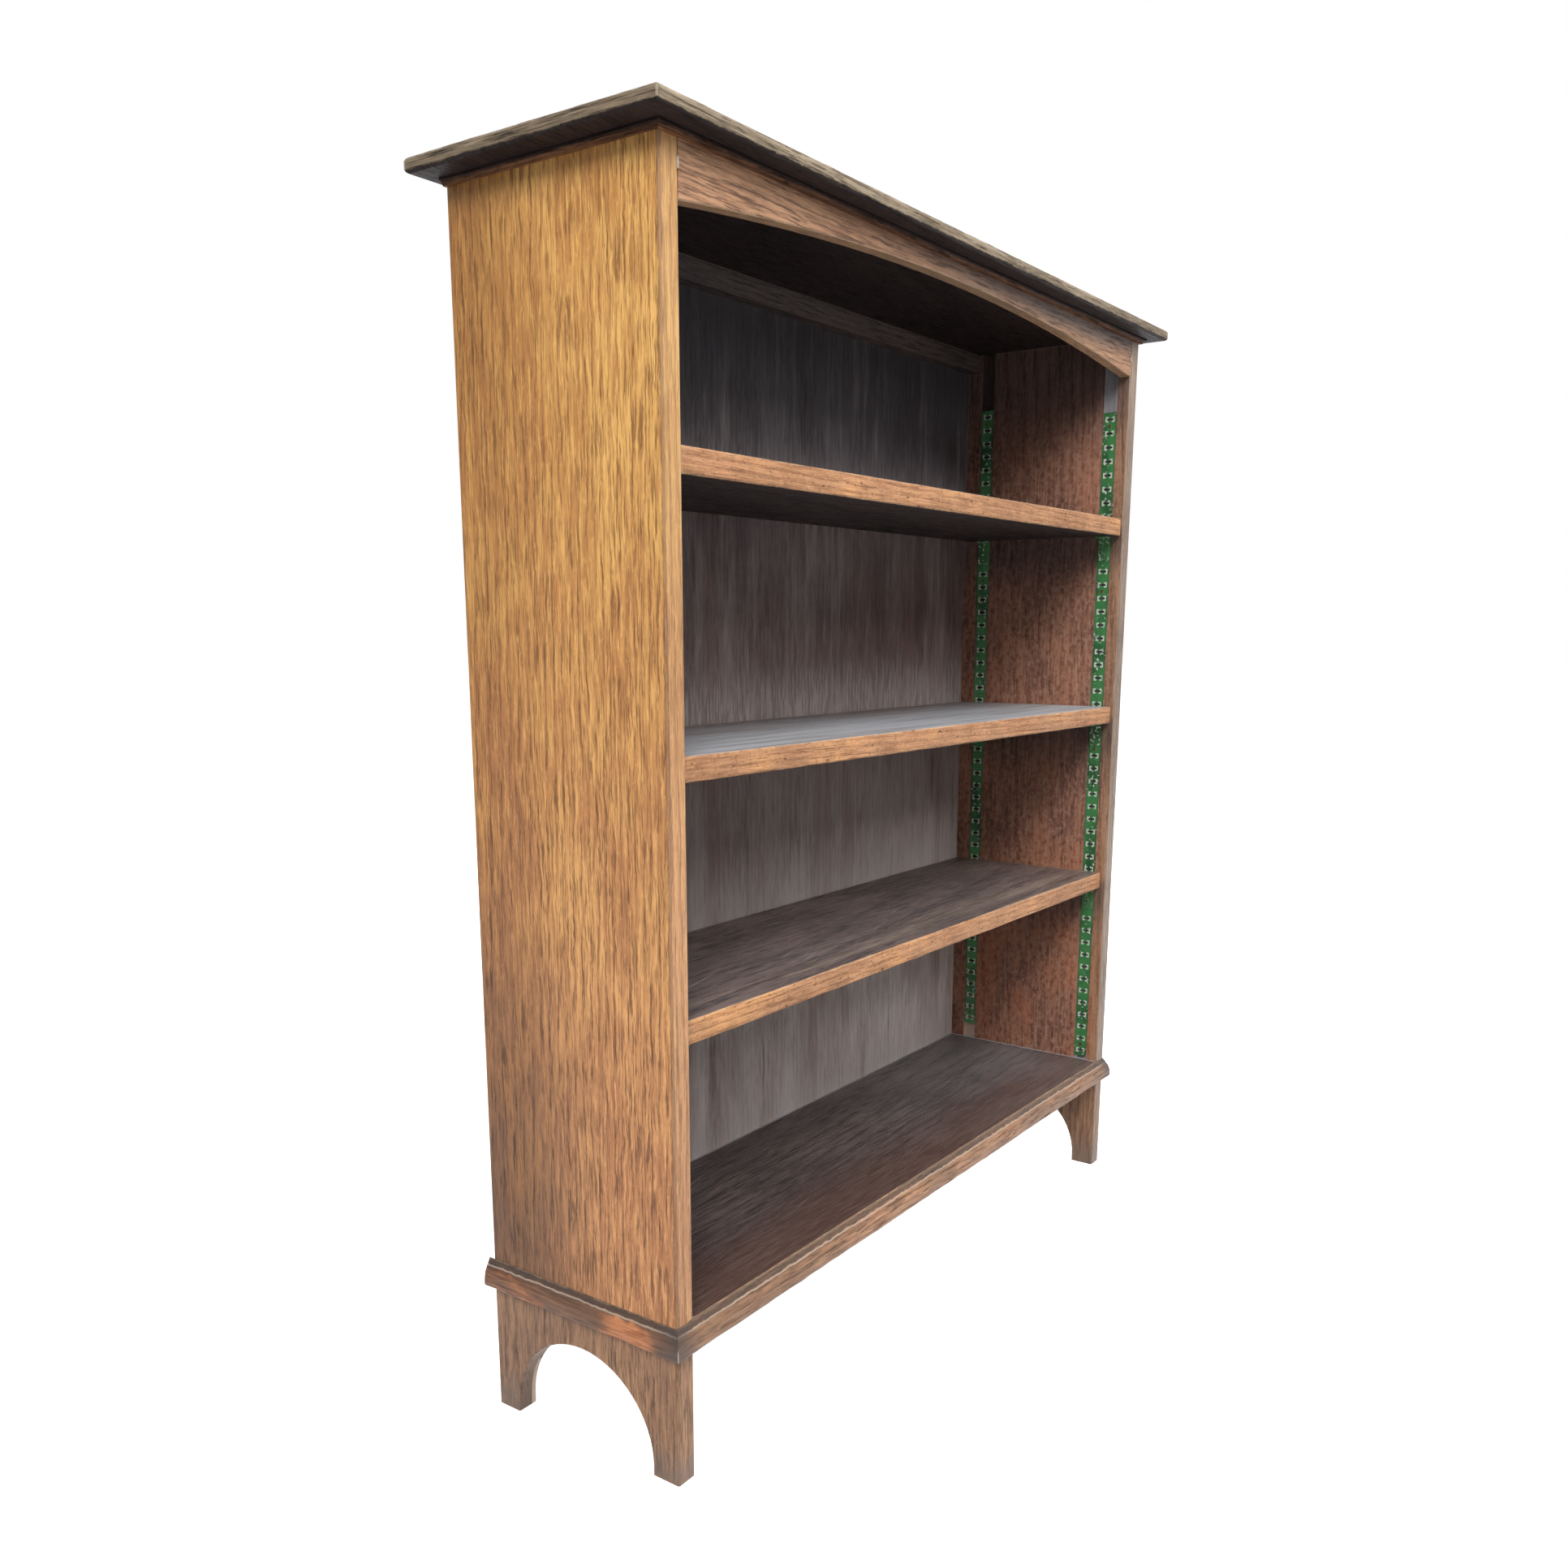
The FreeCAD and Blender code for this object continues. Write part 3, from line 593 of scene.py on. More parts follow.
@dataclass(frozen=True)
class SideFinish(OakFinish):
    """A side panel: golden outside, tanned front edge, chestnut inside, grey at its feet, some
    painted shade.

    Attributes:
        sign: -1 on the left and 1 on the right.
        groove_middles: Where the strips' grooves run, as distances along Y.
        foot_top: The height at which the base moulding covers the panel.
        shaded_under: The heights of the shelves' undersides, under which shadow is painted.
    """

    sign: int = -1
    groove_middles: Pair = (-0.092, 0.099)
    foot_top: float = 0.142
    shaded_under: Point = (0.4346, 0.6784, 0.9409)

    def marked(self, wood: Wood, colour: Tint) -> Tint:
        """See OakFinish.marked."""
        kit, (x, y, z), front = wood.kit, wood.place, self.box.low.y
        out, wall, uneven = x * self.sign, INNER_WALL, wood.uneven(0.7)
        smoky, grey, painted_shade_tone = wood.stained(LEATHERY), wood.stained(TANNED, 0.6), wood.stained(EBONY)
        # Painted shade: the outside darkens towards the rear, most near the top and low down
        shaded = 0.50 + z.ease(0.90, 1.16) * 0.40 + z.ease(0.65, 0.20) * 0.45
        low_rear_shade = (z + uneven * 0.3).ease(0.60, 0.15) * (y + uneven * 0.1).ease(-0.06, 0.08)
        rearward = (y + uneven * 0.2).ease(-0.06, 0.11)
        outside = kit.paint(
            wood.stained(RUSSET),
            ((z + uneven).ease(0.30, 1.05), colour),
            ((z + uneven).ease(0.62, 0.18) * rearward * 0.8, smoky),
            ((y + uneven * 0.1).ease(-0.02, 0.11) * shaded, stain(196, 182, 160), "MULTIPLY"),
            (low_rear_shade * 0.55, stain(200, 186, 168), "MULTIPLY"),
        )
        if self.sign < 0:
            golden, russet = wood.stained(GOLDEN, 0.3), wood.stained(RUSSET, 0.3)
            edge = kit.paint(golden, (z.ease(0.95, 0.55), russet), (0.45, grey))
        else:
            edge = kit.paint(grey, (0.85, wood.stained(WEATHERED, 0.6)))
        reddish = wood.mottle.ease(0.42, 0.62) * (0.25 + z.ease(0.60, 0.25) * 0.35)
        speck = kit.noise(wood.place, (150, 150, 120), 3, 0.7)
        handled = (y + uneven * 0.01).ease(front + 22 * MM, front + 3 * MM)
        # Painted shadow: a dark band just under each shelf, and painted shade inside near the top
        shelf_shadow_drops = [level - z + uneven * 0.05 for level in self.shaded_under]
        inside = kit.paint(
            wood.stained(CHESTNUT, 0.55),
            (reddish, stain(176, 104, 72)),
            (speck.ease(0.53, 0.63) * 0.55, stain(176, 140, 122)),
            (speck.ease(0.46, 0.36) * 0.45, stain(50, 34, 30)),
            (handled * 0.6, grey),
            *((drop.ease(-22 * MM, 0) * drop.ease(0.09, 0.01) * 0.7, painted_shade_tone) for drop in shelf_shadow_drops),
            ((z + uneven * 0.2).ease(1.02, 1.17) * 0.8, painted_shade_tone),
        )
        low_down = (z + uneven * 0.08).ease(self.foot_top + 4 * MM, self.foot_top - 14 * MM)
        colour = kit.paint(
            outside,
            (out.ease(wall + 1.4 * MM, wall + 0.6 * MM), inside),
            (y.ease(front + 1.6 * MM, front + 0.5 * MM), edge),
            (low_down * 0.85, smoky),
        )
        # Painted shade: a dark band along the outer front arris, for the shade on its rounding
        arris = (OUTER_WALL - out).at_least(y - front) + wood.frayed(0.004)
        walls = out.ease(wall + 0.1 * MM, wall + 0.5 * MM) * out.ease(wall + 7 * MM, wall + 6 * MM)
        # The grooves' bare wood: the rear one painted in shade, paler low down where lit; the front
        # one with a painted reflection
        rear = kit.paint(SHADED_GROOVE_WOOD, (z.ease(0.30, 0.20), stain(212, 186, 168)))
        return kit.paint(
            self.rubbed(wood, colour),
            (arris.ease(3.6 * MM, 1.2 * MM) * 0.60, stain(104, 68, 44)),
            ((z + wood.frayed(0.06)).ease(0.050, 0.004) * 0.6, stain(106, 95, 88)),
            *(
                (walls * abs(y - middle).ease(10.4 * MM, 9.8 * MM), bare)
                for middle, bare in zip(self.groove_middles, (GROOVE_WOOD_AND_REFLECTION, rear))
            ),
        )


@dataclass(frozen=True)
class TopFinish(OakFinish):
    """The top board: weathered edges, ends with streaks along them and painted shade underneath."""

    def marked(self, wood: Wood, colour: Tint) -> Tint:
        """See OakFinish.marked."""
        kit, (x, _, z), low, high = wood.kit, wood.place, self.box.low.z, self.box.high
        streaked = kit.noise(wood.place, (30, 24, 520), 4, 0.65)
        end = kit.paint(
            self.stain.pore,
            (streaked.ease(0.32, 0.56), self.stain.ground),
            (streaked.ease(0.56, 0.70) * 0.6, self.stain.bright),
        )
        at_end = abs(x).ease(high.x - 4 * MM, high.x - 1.5 * MM)
        return kit.paint(
            self.rubbed(wood, kit.paint(colour, (at_end, end))),
            (z.ease(high.z - 1.0 * MM, high.z - 0.2 * MM), wood.stained(UMBER)),
            # Painted shade on the underside and the lower arrises
            ((z + wood.frayed(0.003)).ease(low + 3.4 * MM, low + 1.8 * MM), wood.stained(PAINTED_SHADE)),
        )


@dataclass(frozen=True)
class CoveFinish(OakFinish):
    """The small moulding under the top: painted shade in its hollow and brown at its lower lip."""

    def marked(self, wood: Wood, colour: Tint) -> Tint:
        """See OakFinish.marked."""
        height, middle = wood.place[2] + wood.frayed(0.002), self.box.middle.z
        # Painted shade in the hollow under the top
        hollow = height.ease(middle - 1.4 * MM, middle + 1.0 * MM)
        return wood.kit.paint(colour, (hollow, wood.stained(PAINTED_SHADE)))


@dataclass(frozen=True)
class FriezeFinish(OakFinish):
    """The frieze: painted shade under the top, more so at the right, and worn along its arch.

    Attributes:
        arch_top: The height of the arch's middle.
        arch_radius: The radius of the arch.
    """

    arch_top: float = 1.182
    arch_radius: float = 4.0035

    def marked(self, wood: Wood, colour: Tint) -> Tint:
        """See OakFinish.marked."""
        kit, (x, _, z) = wood.kit, wood.place
        # Painted shade under the top's overhang, stronger towards the right
        painted_shade_mask = (z + wood.uneven(0.03)).ease(1.168, 1.198) * (x.ease(-0.35, 0.20) * 0.86)
        rise = z + (self.arch_radius - self.arch_top)
        above = kit.math("SQRT", x * x + rise * rise) - self.arch_radius + wood.frayed(0.003)
        return kit.paint(
            colour,
            (wood.mottle.ease(0.52, 0.68) * 0.12, wood.stained(COCOA)),
            (painted_shade_mask, wood.stained(EBONY)),
            (above.ease(1.6 * MM, 0.4 * MM) * 0.35, self.worn),
        )


@dataclass(frozen=True)
class ShelfFinish(OakFinish):
    """A loose shelf: dark top with scratches, dust and painted sheen, tawny front edge with dents,
    painted shade under it.

    Attributes:
        dust: How much pale dust, with a painted sheen, lies on the top towards the front.
        seed: Moves the scratches.
    """

    dust: float = 0.2
    seed: int = 0

    def marked(self, wood: Wood, colour: Tint) -> Tint:
        """See OakFinish.marked."""
        kit, (x, y, z), front, seed = wood.kit, wood.place, self.box.low.y, self.seed
        fine = kit.noise((x, z, seed), (190, 320, 1), 2, 0.7)
        edge = kit.paint(
            wood.stained(TAWNY, 0.4),
            (wood.mottle.ease(0.52, 0.66) * 0.5, wood.stained(RUSSET, 0.5)),
            (fine.ease(0.57, 0.68) * 0.5, stain(96, 62, 42)),
            (fine.ease(0.42, 0.32) * 0.35, stain(214, 170, 128)),
            (kit.noise((x, z, seed), (70, 150, 1), 1).ease(0.70, 0.76) * 0.7, stain(70, 44, 32)),
        )
        wiped = kit.noise((x, y, seed), (1.6, 44, 1), 4, 0.62).ease(0.44, 0.60)
        near_front = (y + wood.uneven(0.05)).ease(front + 0.085, front + 0.015)
        # Dust, with a painted sheen, towards the front of the top
        dust_and_sheen_reach = (y + wood.uneven(0.14)).ease(front + 0.30, front + 0.02)
        smear = kit.noise((x, y, seed + 5), (2.4, 60, 1), 4, 0.65)
        upper = kit.paint(
            colour,
            (scratches(wood, seed) * 0.5, stain(182, 168, 158)),
            (wiped * near_front * 0.75, wood.stained(WEATHERED, 0.5)),
            (dust_and_sheen_reach * (1.0 - smear.ease(0.48, 0.62) * 0.45) * self.dust, DUST_AND_SHEEN),
        )
        # Painted shade on the underside, the rear and the ends
        colour = kit.paint(
            wood.stained(PAINTED_SHADE),
            (self.on_top(wood.place), upper),
            (y.ease(front + 1.9 * MM, front + 1.0 * MM), edge),
        )
        return self.rubbed(wood, colour)


@dataclass(frozen=True)
class FloorFinish(OakFinish):
    """The bottom board: nearly black, with fine scratches and a pale line of dust at the walls."""

    def marked(self, wood: Wood, colour: Tint) -> Tint:
        """See OakFinish.marked."""
        x, y, _ = wood.place
        front = self.box.low.y
        warm = (y + wood.uneven(0.10)).ease(front + 0.12, front + 0.01)
        to_wall = (self.box.high.y - y).at_most(INNER_WALL - abs(x)) + wood.frayed(0.004)
        colour = wood.kit.paint(
            colour,
            (scratches(wood, 4) * 0.35, stain(160, 140, 128)),
            (x.ease(-0.05, 0.45) * wood.mottle * 0.22, DUST_AND_SHEEN),
            (warm * 0.35, stain(104, 66, 48)),
            (to_wall.ease(4.2 * MM, 1.2 * MM) * 0.75, DUST_AND_SHEEN),
            (y.ease(front + 1.9 * MM, front + 0.8 * MM), wood.stained(TANNED)),
        )
        return self.rubbed(wood, colour)


@dataclass(frozen=True)
class MouldingFinish(OakFinish):
    """The base moulding: a pale arris, painted shade above the ledge and places where the stain has
    gone.

    Attributes:
        ledge: The height of the arris where its face meets the ledge.
        patches: Where along the grain the stain has gone, each as a middle and a half length.
        mitre: The outer corner's distances from the middle.
    """

    ledge: float = 0.1597
    patches: tuple[Pair, ...] = ()
    mitre: Pair = (0.5145, -0.1285)

    def marked(self, wood: Wood, colour: Tint) -> Tint:
        """See OakFinish.marked."""
        kit, (x, y, z), ledge = wood.kit, wood.place, self.ledge
        along = wood.place[self.cut.grain.value] + wood.uneven(0.12)
        bare = kit.paint(wood.stained(TAWNY), (0.5, stain(186, 100, 50)))
        below = (z + wood.frayed(0.02)).ease(ledge + 1 * MM, ledge - 5 * MM)
        gone = wood.mottle.ease(0.36, 0.54)
        colour = kit.paint(
            colour,
            (wood.mottle.ease(0.44, 0.58) * 0.55, stain(82, 60, 47)),
            *(
                (abs(along - middle).ease(half, half * 0.3) * gone * below * 0.90, bare)
                for middle, half in self.patches
            ),
        )
        to_corner = self.mitre[0] - abs(x) if self.cut.grain is Axis.X else y - self.mitre[1]
        # Painted shade above the ledge's arris
        painted_shade_mask = (z + wood.frayed(0.006)).ease(ledge + 0.4 * MM, ledge + 2 * MM)
        line = abs(z - ledge + wood.frayed(0.003)).ease(1.1 * MM, 0.3 * MM)
        return kit.paint(
            self.rubbed(wood, colour),
            (painted_shade_mask * 0.7, stain(58, 47, 42)),
            (line * 0.6, stain(190, 176, 160)),
            ((to_corner + wood.uneven(0.04)).ease(0.045, 0.008) * 0.75, stain(62, 54, 52)),
            ((to_corner + wood.frayed(0.002)).ease(1.5 * MM, 0.7 * MM) * 0.7, stain(206, 192, 176)),
        )


@dataclass(frozen=True)
class SheetFinish(OakFinish):
    """The thin back: brown outside, and inside greyed, with pale runs, and painted light with dust
    over each board.

    Attributes:
        levels: The heights of the boards' tops, over which painted light and dust lie.
    """

    levels: tuple[float, ...] = (0.167, 0.4586, 0.7024, 0.9649)

    def marked(self, wood: Wood, colour: Tint) -> Tint:
        """See OakFinish.marked."""
        kit, (x, y, z), flat = wood.kit, wood.place, self.box
        tan = kit.noise((x, 0.0, z), (9, 1, 1.1), 4, 0.6)
        to_rim = (flat.high.x - abs(x)).at_most(z - flat.low.z) + wood.frayed(0.03)
        outside = kit.paint(
            colour,
            (tan.ease(0.40, 0.70) * 0.45, stain(118, 94, 78)),
            (to_rim.ease(0.035, 0.004) * 0.35, stain(58, 46, 42)),
        )
        # Paler towards the bottom and the right
        low_down = (z + wood.uneven(0.2)).ease(0.78, 0.36)
        run = kit.noise((x, 0.0, z), (34, 1, 3), 5, 0.74)
        hue = kit.noise((x, 0.0, z), (20, 1, 1.2), 3, 0.6)
        # Painted light with some dust: pale bands just above each board's top
        over_boards = [z - level for level in self.levels]
        dust_and_light_bands = [
            above.ease(-24 * MM, -2 * MM) * (above + (run - 0.5) * 0.12).ease(0.085, 0.004)
            for above in over_boards
        ]
        streaked = wood.fibre.ease(0.44, 0.60) * 0.45 + 0.25
        return kit.paint(
            colour,
            (low_down * (x.ease(-0.15, 0.42) * 0.35 + 0.65), wood.stained(PALE_SHEET)),
            # Painted shade: greyer towards the top, under the top board
            (z.ease(0.80, 1.12), wood.stained(GREY_SHEET)),
            (run.ease(0.48, 0.72) * 0.60, stain(164, 154, 150)),
            (run.ease(0.46, 0.30) * 0.60, stain(58, 46, 44)),
            (hue.ease(0.50, 0.66) * z.ease(1.05, 0.75) * 0.38, stain(112, 78, 66)),
            *((dust_and_light_band * streaked, stain(172, 162, 158)) for dust_and_light_band in dust_and_light_bands),
            # Painted shade near the top, under the top board
            ((z + wood.uneven(0.1)).ease(1.06, 1.19) * 0.7, stain(44, 40, 42)),
            (y.ease(flat.middle.y - 0.5 * MM, flat.middle.y + 0.5 * MM), outside),
        )


def scratches(wood: Wood, seed: int) -> Number:
    """Fine scratches in two directions on a board that lies flat.

    Args:
        wood: The shaded point.
        seed: Moves the scratches.

    Returns:
        1 on a scratch and 0 beside it.
    """
    x, y, _ = wood.place
    cuts = []
    for number, angle in enumerate((math.radians(14), math.radians(-31)), start=seed):
        along = x * math.cos(angle) + y * math.sin(angle)
        across = y * math.cos(angle) - x * math.sin(angle)
        line = wood.kit.noise((along, across, number), (7, 420, 1), 0)
        where = wood.kit.noise((x, y, number + 9), (6, 9, 1), 1)
        cuts.append(line.ease(0.74, 0.80) * where.ease(0.50, 0.62))
    return cuts[0].at_least(cuts[1])


@dataclass(frozen=True)
class EnamelFinish:
    """Green enamel on the slotted strips and their clips, with painted glints at the slots.

    Attributes:
        name: The material's name.
        green: The enamel's colour.
        foot: The height of the strip's lower end, or None on a clip.
        middle: Where the slots lie along Y.
        pitch: From one slot to the next.
        extra_chips_and_glints: How much more of its enamel is worn off in pale chips; on the clips
            these also stand for painted glints.
    """

    name: str
    green: Colour
    foot: float | None = None
    middle: float = 0.0
    pitch: float = 18.75 * MM
    extra_chips_and_glints: float = 0.0

    def material(self) -> bpy.types.Material:
        """Builds the material.

        Returns:
            The enamel, worn off in pale chips, with painted glints at the slots' ends.
        """
        kit = NodeKit.of(self.name)
        place = _, y, z = kit.place()
        stipple = kit.noise(place, (260, 260, 260), 3, 0.6)
        patch = kit.noise(place, (40, 40, 22))
        chips_and_glints = (stipple + self.extra_chips_and_glints).ease(0.60, 0.66) * (patch + self.extra_chips_and_glints).ease(0.44, 0.54)
        # Painted glints: pale spots at the ends of each slot
        if self.foot is not None:
            phase = abs(((z - self.foot) / self.pitch).fraction() - 0.5)
            aside = abs(y - self.middle)
            ends = aside.ease(2.0 * MM, 3.0 * MM) * aside.ease(7.2 * MM, 6.0 * MM)
            chips_and_glints = chips_and_glints.at_least(phase.ease(0.23, 0.16) * ends * stipple.ease(0.34, 0.44))
        shade = (patch.ease(0.35, 0.70) * 0.7, stain(24, 58, 34))
        return kit.surface(
            kit.paint(self.green, shade, (chips_and_glints, stain(222, 230, 214))),
            stipple * 0.2 + 0.30,
            1.0 - chips_and_glints * 0.7 - stipple * 0.3,
            depth=0.12 * MM,
            Metallic=chips_and_glints * 0.3,
        )


@dataclass(frozen=True)
class MetalFinish:
    """Bare metal of small fastenings, dulled and spotted.

    Attributes:
        name: The material's name.
        metal: The clean metal's colour.
        tarnish: What it has turned to in places.
    """

    name: str
    metal: Colour
    tarnish: Colour

    def material(self) -> bpy.types.Material:
        """Builds the material.

        Returns:
            The metal, which is dull in spots.
        """
        kit = NodeKit.of(self.name)
        spots = kit.noise(kit.place(), (700, 700, 700), 3, 0.6)
        dull = spots.ease(0.38, 0.62)
        colour = kit.paint(self.metal, (dull, self.tarnish))
        return kit.surface(colour, dull * 0.3 + 0.30, spots, 0.05 * MM, Metallic=1.0 - dull * 0.4)


@dataclass(frozen=True)
class FillerFinish:
    """Pale filler, grubby in places.

    Attributes:
        name: The material's name.
    """

    name: str

    def material(self) -> bpy.types.Material:
        """Builds the material.

        Returns:
            The filler.
        """
        kit = NodeKit.of(self.name)
        grit = kit.noise(kit.place(), (900, 900, 900), 3, 0.6)
        colour = kit.paint(stain(206, 196, 180), (grit.ease(0.35, 0.7), stain(170, 152, 128)))
        return kit.surface(colour, 0.8, grit, 0.1 * MM)


# Modelling by hand


def clear_selection() -> None:
    """Deselects everything, because an operator acts on all that is selected."""
    bpy.ops.object.select_all(action="DESELECT")


def take_up(*pieces: Piece) -> None:
    """Selects these pieces alone.

    Args:
        pieces: The pieces, of which the first becomes active.
    """
    clear_selection()
    for piece in pieces:
        piece.select_set(True)
    bpy.context.view_layer.objects.active = pieces[0]


class Bench:
    """A piece opened in edit mode, whose elements are picked by their place."""

    def __init__(self, piece: Piece) -> None:
        """Keeps the piece."""
        self.piece = piece

    def __enter__(self) -> Bench:
        """Opens the piece.

        Returns:
            The bench.
        """
        take_up(self.piece)
        bpy.ops.object.mode_set(mode="EDIT")
        return self

    def __exit__(self, *problem: Any) -> None:
        """Closes the piece."""
        bpy.ops.object.mode_set(mode="OBJECT")

    def pick(self, kind: str, wanted: Callable[[Any], bool]) -> None:
        """Selects only the elements that are wanted.

        Args:
            kind: VERT, EDGE or FACE.
            wanted: Tells from an element whether it is.
        """
        bpy.ops.mesh.select_mode(type=kind)
        bpy.ops.mesh.select_all(action="DESELECT")
        mesh = bmesh.from_edit_mesh(self.piece.data)
        for element in {"VERT": mesh.verts, "EDGE": mesh.edges, "FACE": mesh.faces}[kind]:
            if wanted(element):
                element.select_set(True)
        bmesh.update_edit_mesh(self.piece.data)

    def round_off(self, wanted: Callable[[Any], bool], radius: float, segments: int) -> None:
        """Rounds the edges that are wanted."""
        self.pick("EDGE", wanted)
        bpy.ops.mesh.bevel(offset=radius, segments=segments, affect="EDGES")

    def slice(self, point: Point, normal: Point, keep_only_inner: bool = False) -> None:
        """Cuts the whole piece along a plane.

        Args:
            point: A point of the plane.
            normal: The way that it looks.
            keep_only_inner: Whether what lies before it is dropped and the cut closed.
        """
        bpy.ops.mesh.select_all(action="SELECT")
        drop = {"clear_outer": keep_only_inner, "use_fill": keep_only_inner}
        bpy.ops.mesh.bisect(plane_co=point, plane_no=normal, **drop)

    def cut(self, axis: Axis, at: float) -> None:
        """Cuts the whole piece across an axis."""
        normal = Vector([float(axis is other) for other in Axis])
        self.slice(normal * at, normal)

    def divide(self, box: Box, axis: Axis, step: float) -> None:
        """Cuts a board into short stretches.

        Args:
            box: The board's box.
            axis: The axis that they follow each other along.
            step: The length of one.
        """
        way = axis.value
        length = box.high[way] - box.low[way]

        def runs_along(edge: bmesh.types.BMEdge) -> bool:
            """Finds the board's long edges.

            Args:
                edge: An edge.

            Returns:
                Whether it runs along the axis for most of the length.
            """
            gap = edge.verts[1].co - edge.verts[0].co
            run, gap[way] = abs(gap[way]), 0.0
            return run >= 0.8 * length and gap.length < TOUCH

        self.pick("EDGE", runs_along)
        bpy.ops.mesh.subdivide(number_cuts=int(length / step) - 1)


def add_block(name: str, box: Box) -> Piece:
    """Adds a block, with its size and place in its mesh.

    Args:
        name: The block's name.
        box: Its corners.

    Returns:
        The block.
    """
    clear_selection()
    size = box.high - box.low
    bpy.ops.mesh.primitive_cube_add(size=1.0, location=box.middle, scale=size)
    bpy.ops.object.transform_apply()
    block = bpy.context.object
    block.name = block.data.name = name
    return block


def add_disc(vertices: int, radius: float, low: float, high: float) -> Piece:
    """Adds a round disc that lies over the origin.

    Args:
        vertices: How many corners its rim has.
        radius: Its radius.
        low, high: The levels between which it lies.

    Returns:
        The disc.
    """
    clear_selection()
    size = {"vertices": vertices, "radius": radius, "depth": high - low}
    bpy.ops.mesh.primitive_cylinder_add(**size, location=(0.0, 0.0, (low + high) / 2))
    bpy.ops.object.transform_apply()
    return bpy.context.object


def apply_modifier(piece: Piece, kind: str, **settings: Any) -> None:
    """Adds a modifier and applies it.

    Args:
        piece: The piece.
        kind: The modifier's type.
        settings: Its attributes.
    """
    take_up(piece)
    modifier = piece.modifiers.new(kind, kind)
    for name, value in settings.items():
        setattr(modifier, name, value)
    bpy.ops.object.modifier_apply(modifier=modifier.name)


def wear_down(piece: Piece, chosen: Callable[[Vector], bool], depth: float, grain: float) -> None:
    """Wears some vertices unevenly into the piece.

    Args:
        piece: The piece.
        chosen: Tells from a vertex's place whether it wears.
        depth: The deepest wear.
        grain: The length of one dip.
    """
    group = piece.vertex_groups.new(name="worn")
    group.add([v.index for v in piece.data.vertices if chosen(v.co)], 1.0, "ADD")
    clouds = bpy.data.textures.new(piece.name + "_wear", "CLOUDS")
    clouds.noise_scale = grain
    clouds.contrast = 1.6
    settings = {"texture_coords": "LOCAL", "vertex_group": group.name, "mid_level": 1.0}
    apply_modifier(piece, "DISPLACE", texture=clouds, strength=depth, **settings)
    piece.vertex_groups.clear()
    bpy.data.textures.remove(clouds)


def dress(material: bpy.types.Material, *nodes: str) -> None:
    """Gives CAD nodes their finish.

    Args:
        material: The finish.
        nodes: The nodes' names.
    """
    for node in nodes:
        for slot in bpy.data.objects[node].material_slots:
            slot.material = material


def hand_over(
    piece: Piece,
    material: bpy.types.Material,
    body: str,
    slot: str | None,
    *nodes: str,
    angle: float = 32.0,
) -> Piece:
    """Shades and dresses a finished piece and hands it to the frame.

    Args:
        piece: The piece.
        material: What it is dressed in.
        body: The body that it moves with.
        slot: Not used.
        nodes: The CAD nodes that it stands for.
        angle: The least angle of a sharp edge, in degrees.

    Returns:
        The piece.
    """
    take_up(piece)
    bpy.ops.object.shade_smooth_by_angle(angle=math.radians(angle))
    piece.data.materials.clear()
    piece.data.materials.append(material)
    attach(piece, body)
    if nodes:
        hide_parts(*nodes)
    LOG.info("%s rides on %s, %d faces", piece.name, body, len(piece.data.polygons))
    return piece


@dataclass(frozen=True)
class Board:
    """A flat board with worn arrises.

    Attributes:
        body: The body that it moves with.
        slot: A material slot's name, which is handed on but not used.
        upper_round: The radius of the upper arrises.
        lower_round: The radius of the lower arrises.
        all_round: Whether the ends and the rear are rounded too, or the front alone.
        wear: The deepest wear of an arris.
        dip: The length of one dip of the wear.
        step: The length of one stretch between cuts along the board.
        guard: How far the cuts beside the arrises lie from the edge, in radii.
    """

    body: str
    slot: str
    upper_round: float
    lower_round: float
    all_round: bool = False
    wear: float = 0.7 * MM
    dip: float = 26 * MM
    step: float = 8 * MM
    guard: float = 1.5

    def build(self, finish: OakFinish) -> Piece:
        """Models the board and hands it to the frame.

        Args:
            finish: What it is dressed in, with the CAD node that it stands for.

        Returns:
            The board.
        """
        box = finish.box
        reach = max(self.upper_round, self.lower_round)
        board = add_block(finish.node + "_worn", box)
        with Bench(board) as bench:
            for level, radius in ((box.high.z, self.upper_round), (box.low.z, self.lower_round)):
                bench.round_off(lambda edge: self._is_rounded(edge, box, level), radius, 4)
            # Cuts beside the rounded arrises make the flat faces shade flat
            inset = self.guard * reach
            bench.cut(Axis.Y, box.low.y + inset)
            if self.all_round:
                bench.cut(Axis.Y, box.high.y - inset)
                bench.cut(Axis.X, box.low.x + inset)
                bench.cut(Axis.X, box.high.x - inset)
            for axis in (Axis.X, Axis.Y) if self.all_round else (Axis.X,):
                bench.divide(box, axis, self.step)
        wear_down(board, lambda co: self._on_arris(co, box, reach), self.wear, self.dip)
        return hand_over(board, finish.material(), self.body, self.slot, finish.node)

    def _is_rounded(self, edge: bmesh.types.BMEdge, box: Box, level: float) -> bool:
        """Whether an edge lies at that level and is one to round."""
        outer = self.all_round or all(abs(v.co.y - box.low.y) < TOUCH for v in edge.verts)
        return outer and all(abs(v.co.z - level) < TOUCH for v in edge.verts)

    def _on_arris(self, co: Vector, box: Box, reach: float) -> bool:
        """Finds the rounded arrises.

        Args:
            co: A vertex's place.
            box: The board's box.
            reach: How far the rounding reaches from an edge.

        Returns:
            Whether the vertex lies on one, and not on a flat face.
        """
        gaps = sorted(min(co[i] - box.low[i], box.high[i] - co[i]) for i in range(3))
        outer = self.all_round or co.y - box.low.y < reach
        return outer and gaps[0] > 5 * TOUCH and gaps[1] < reach


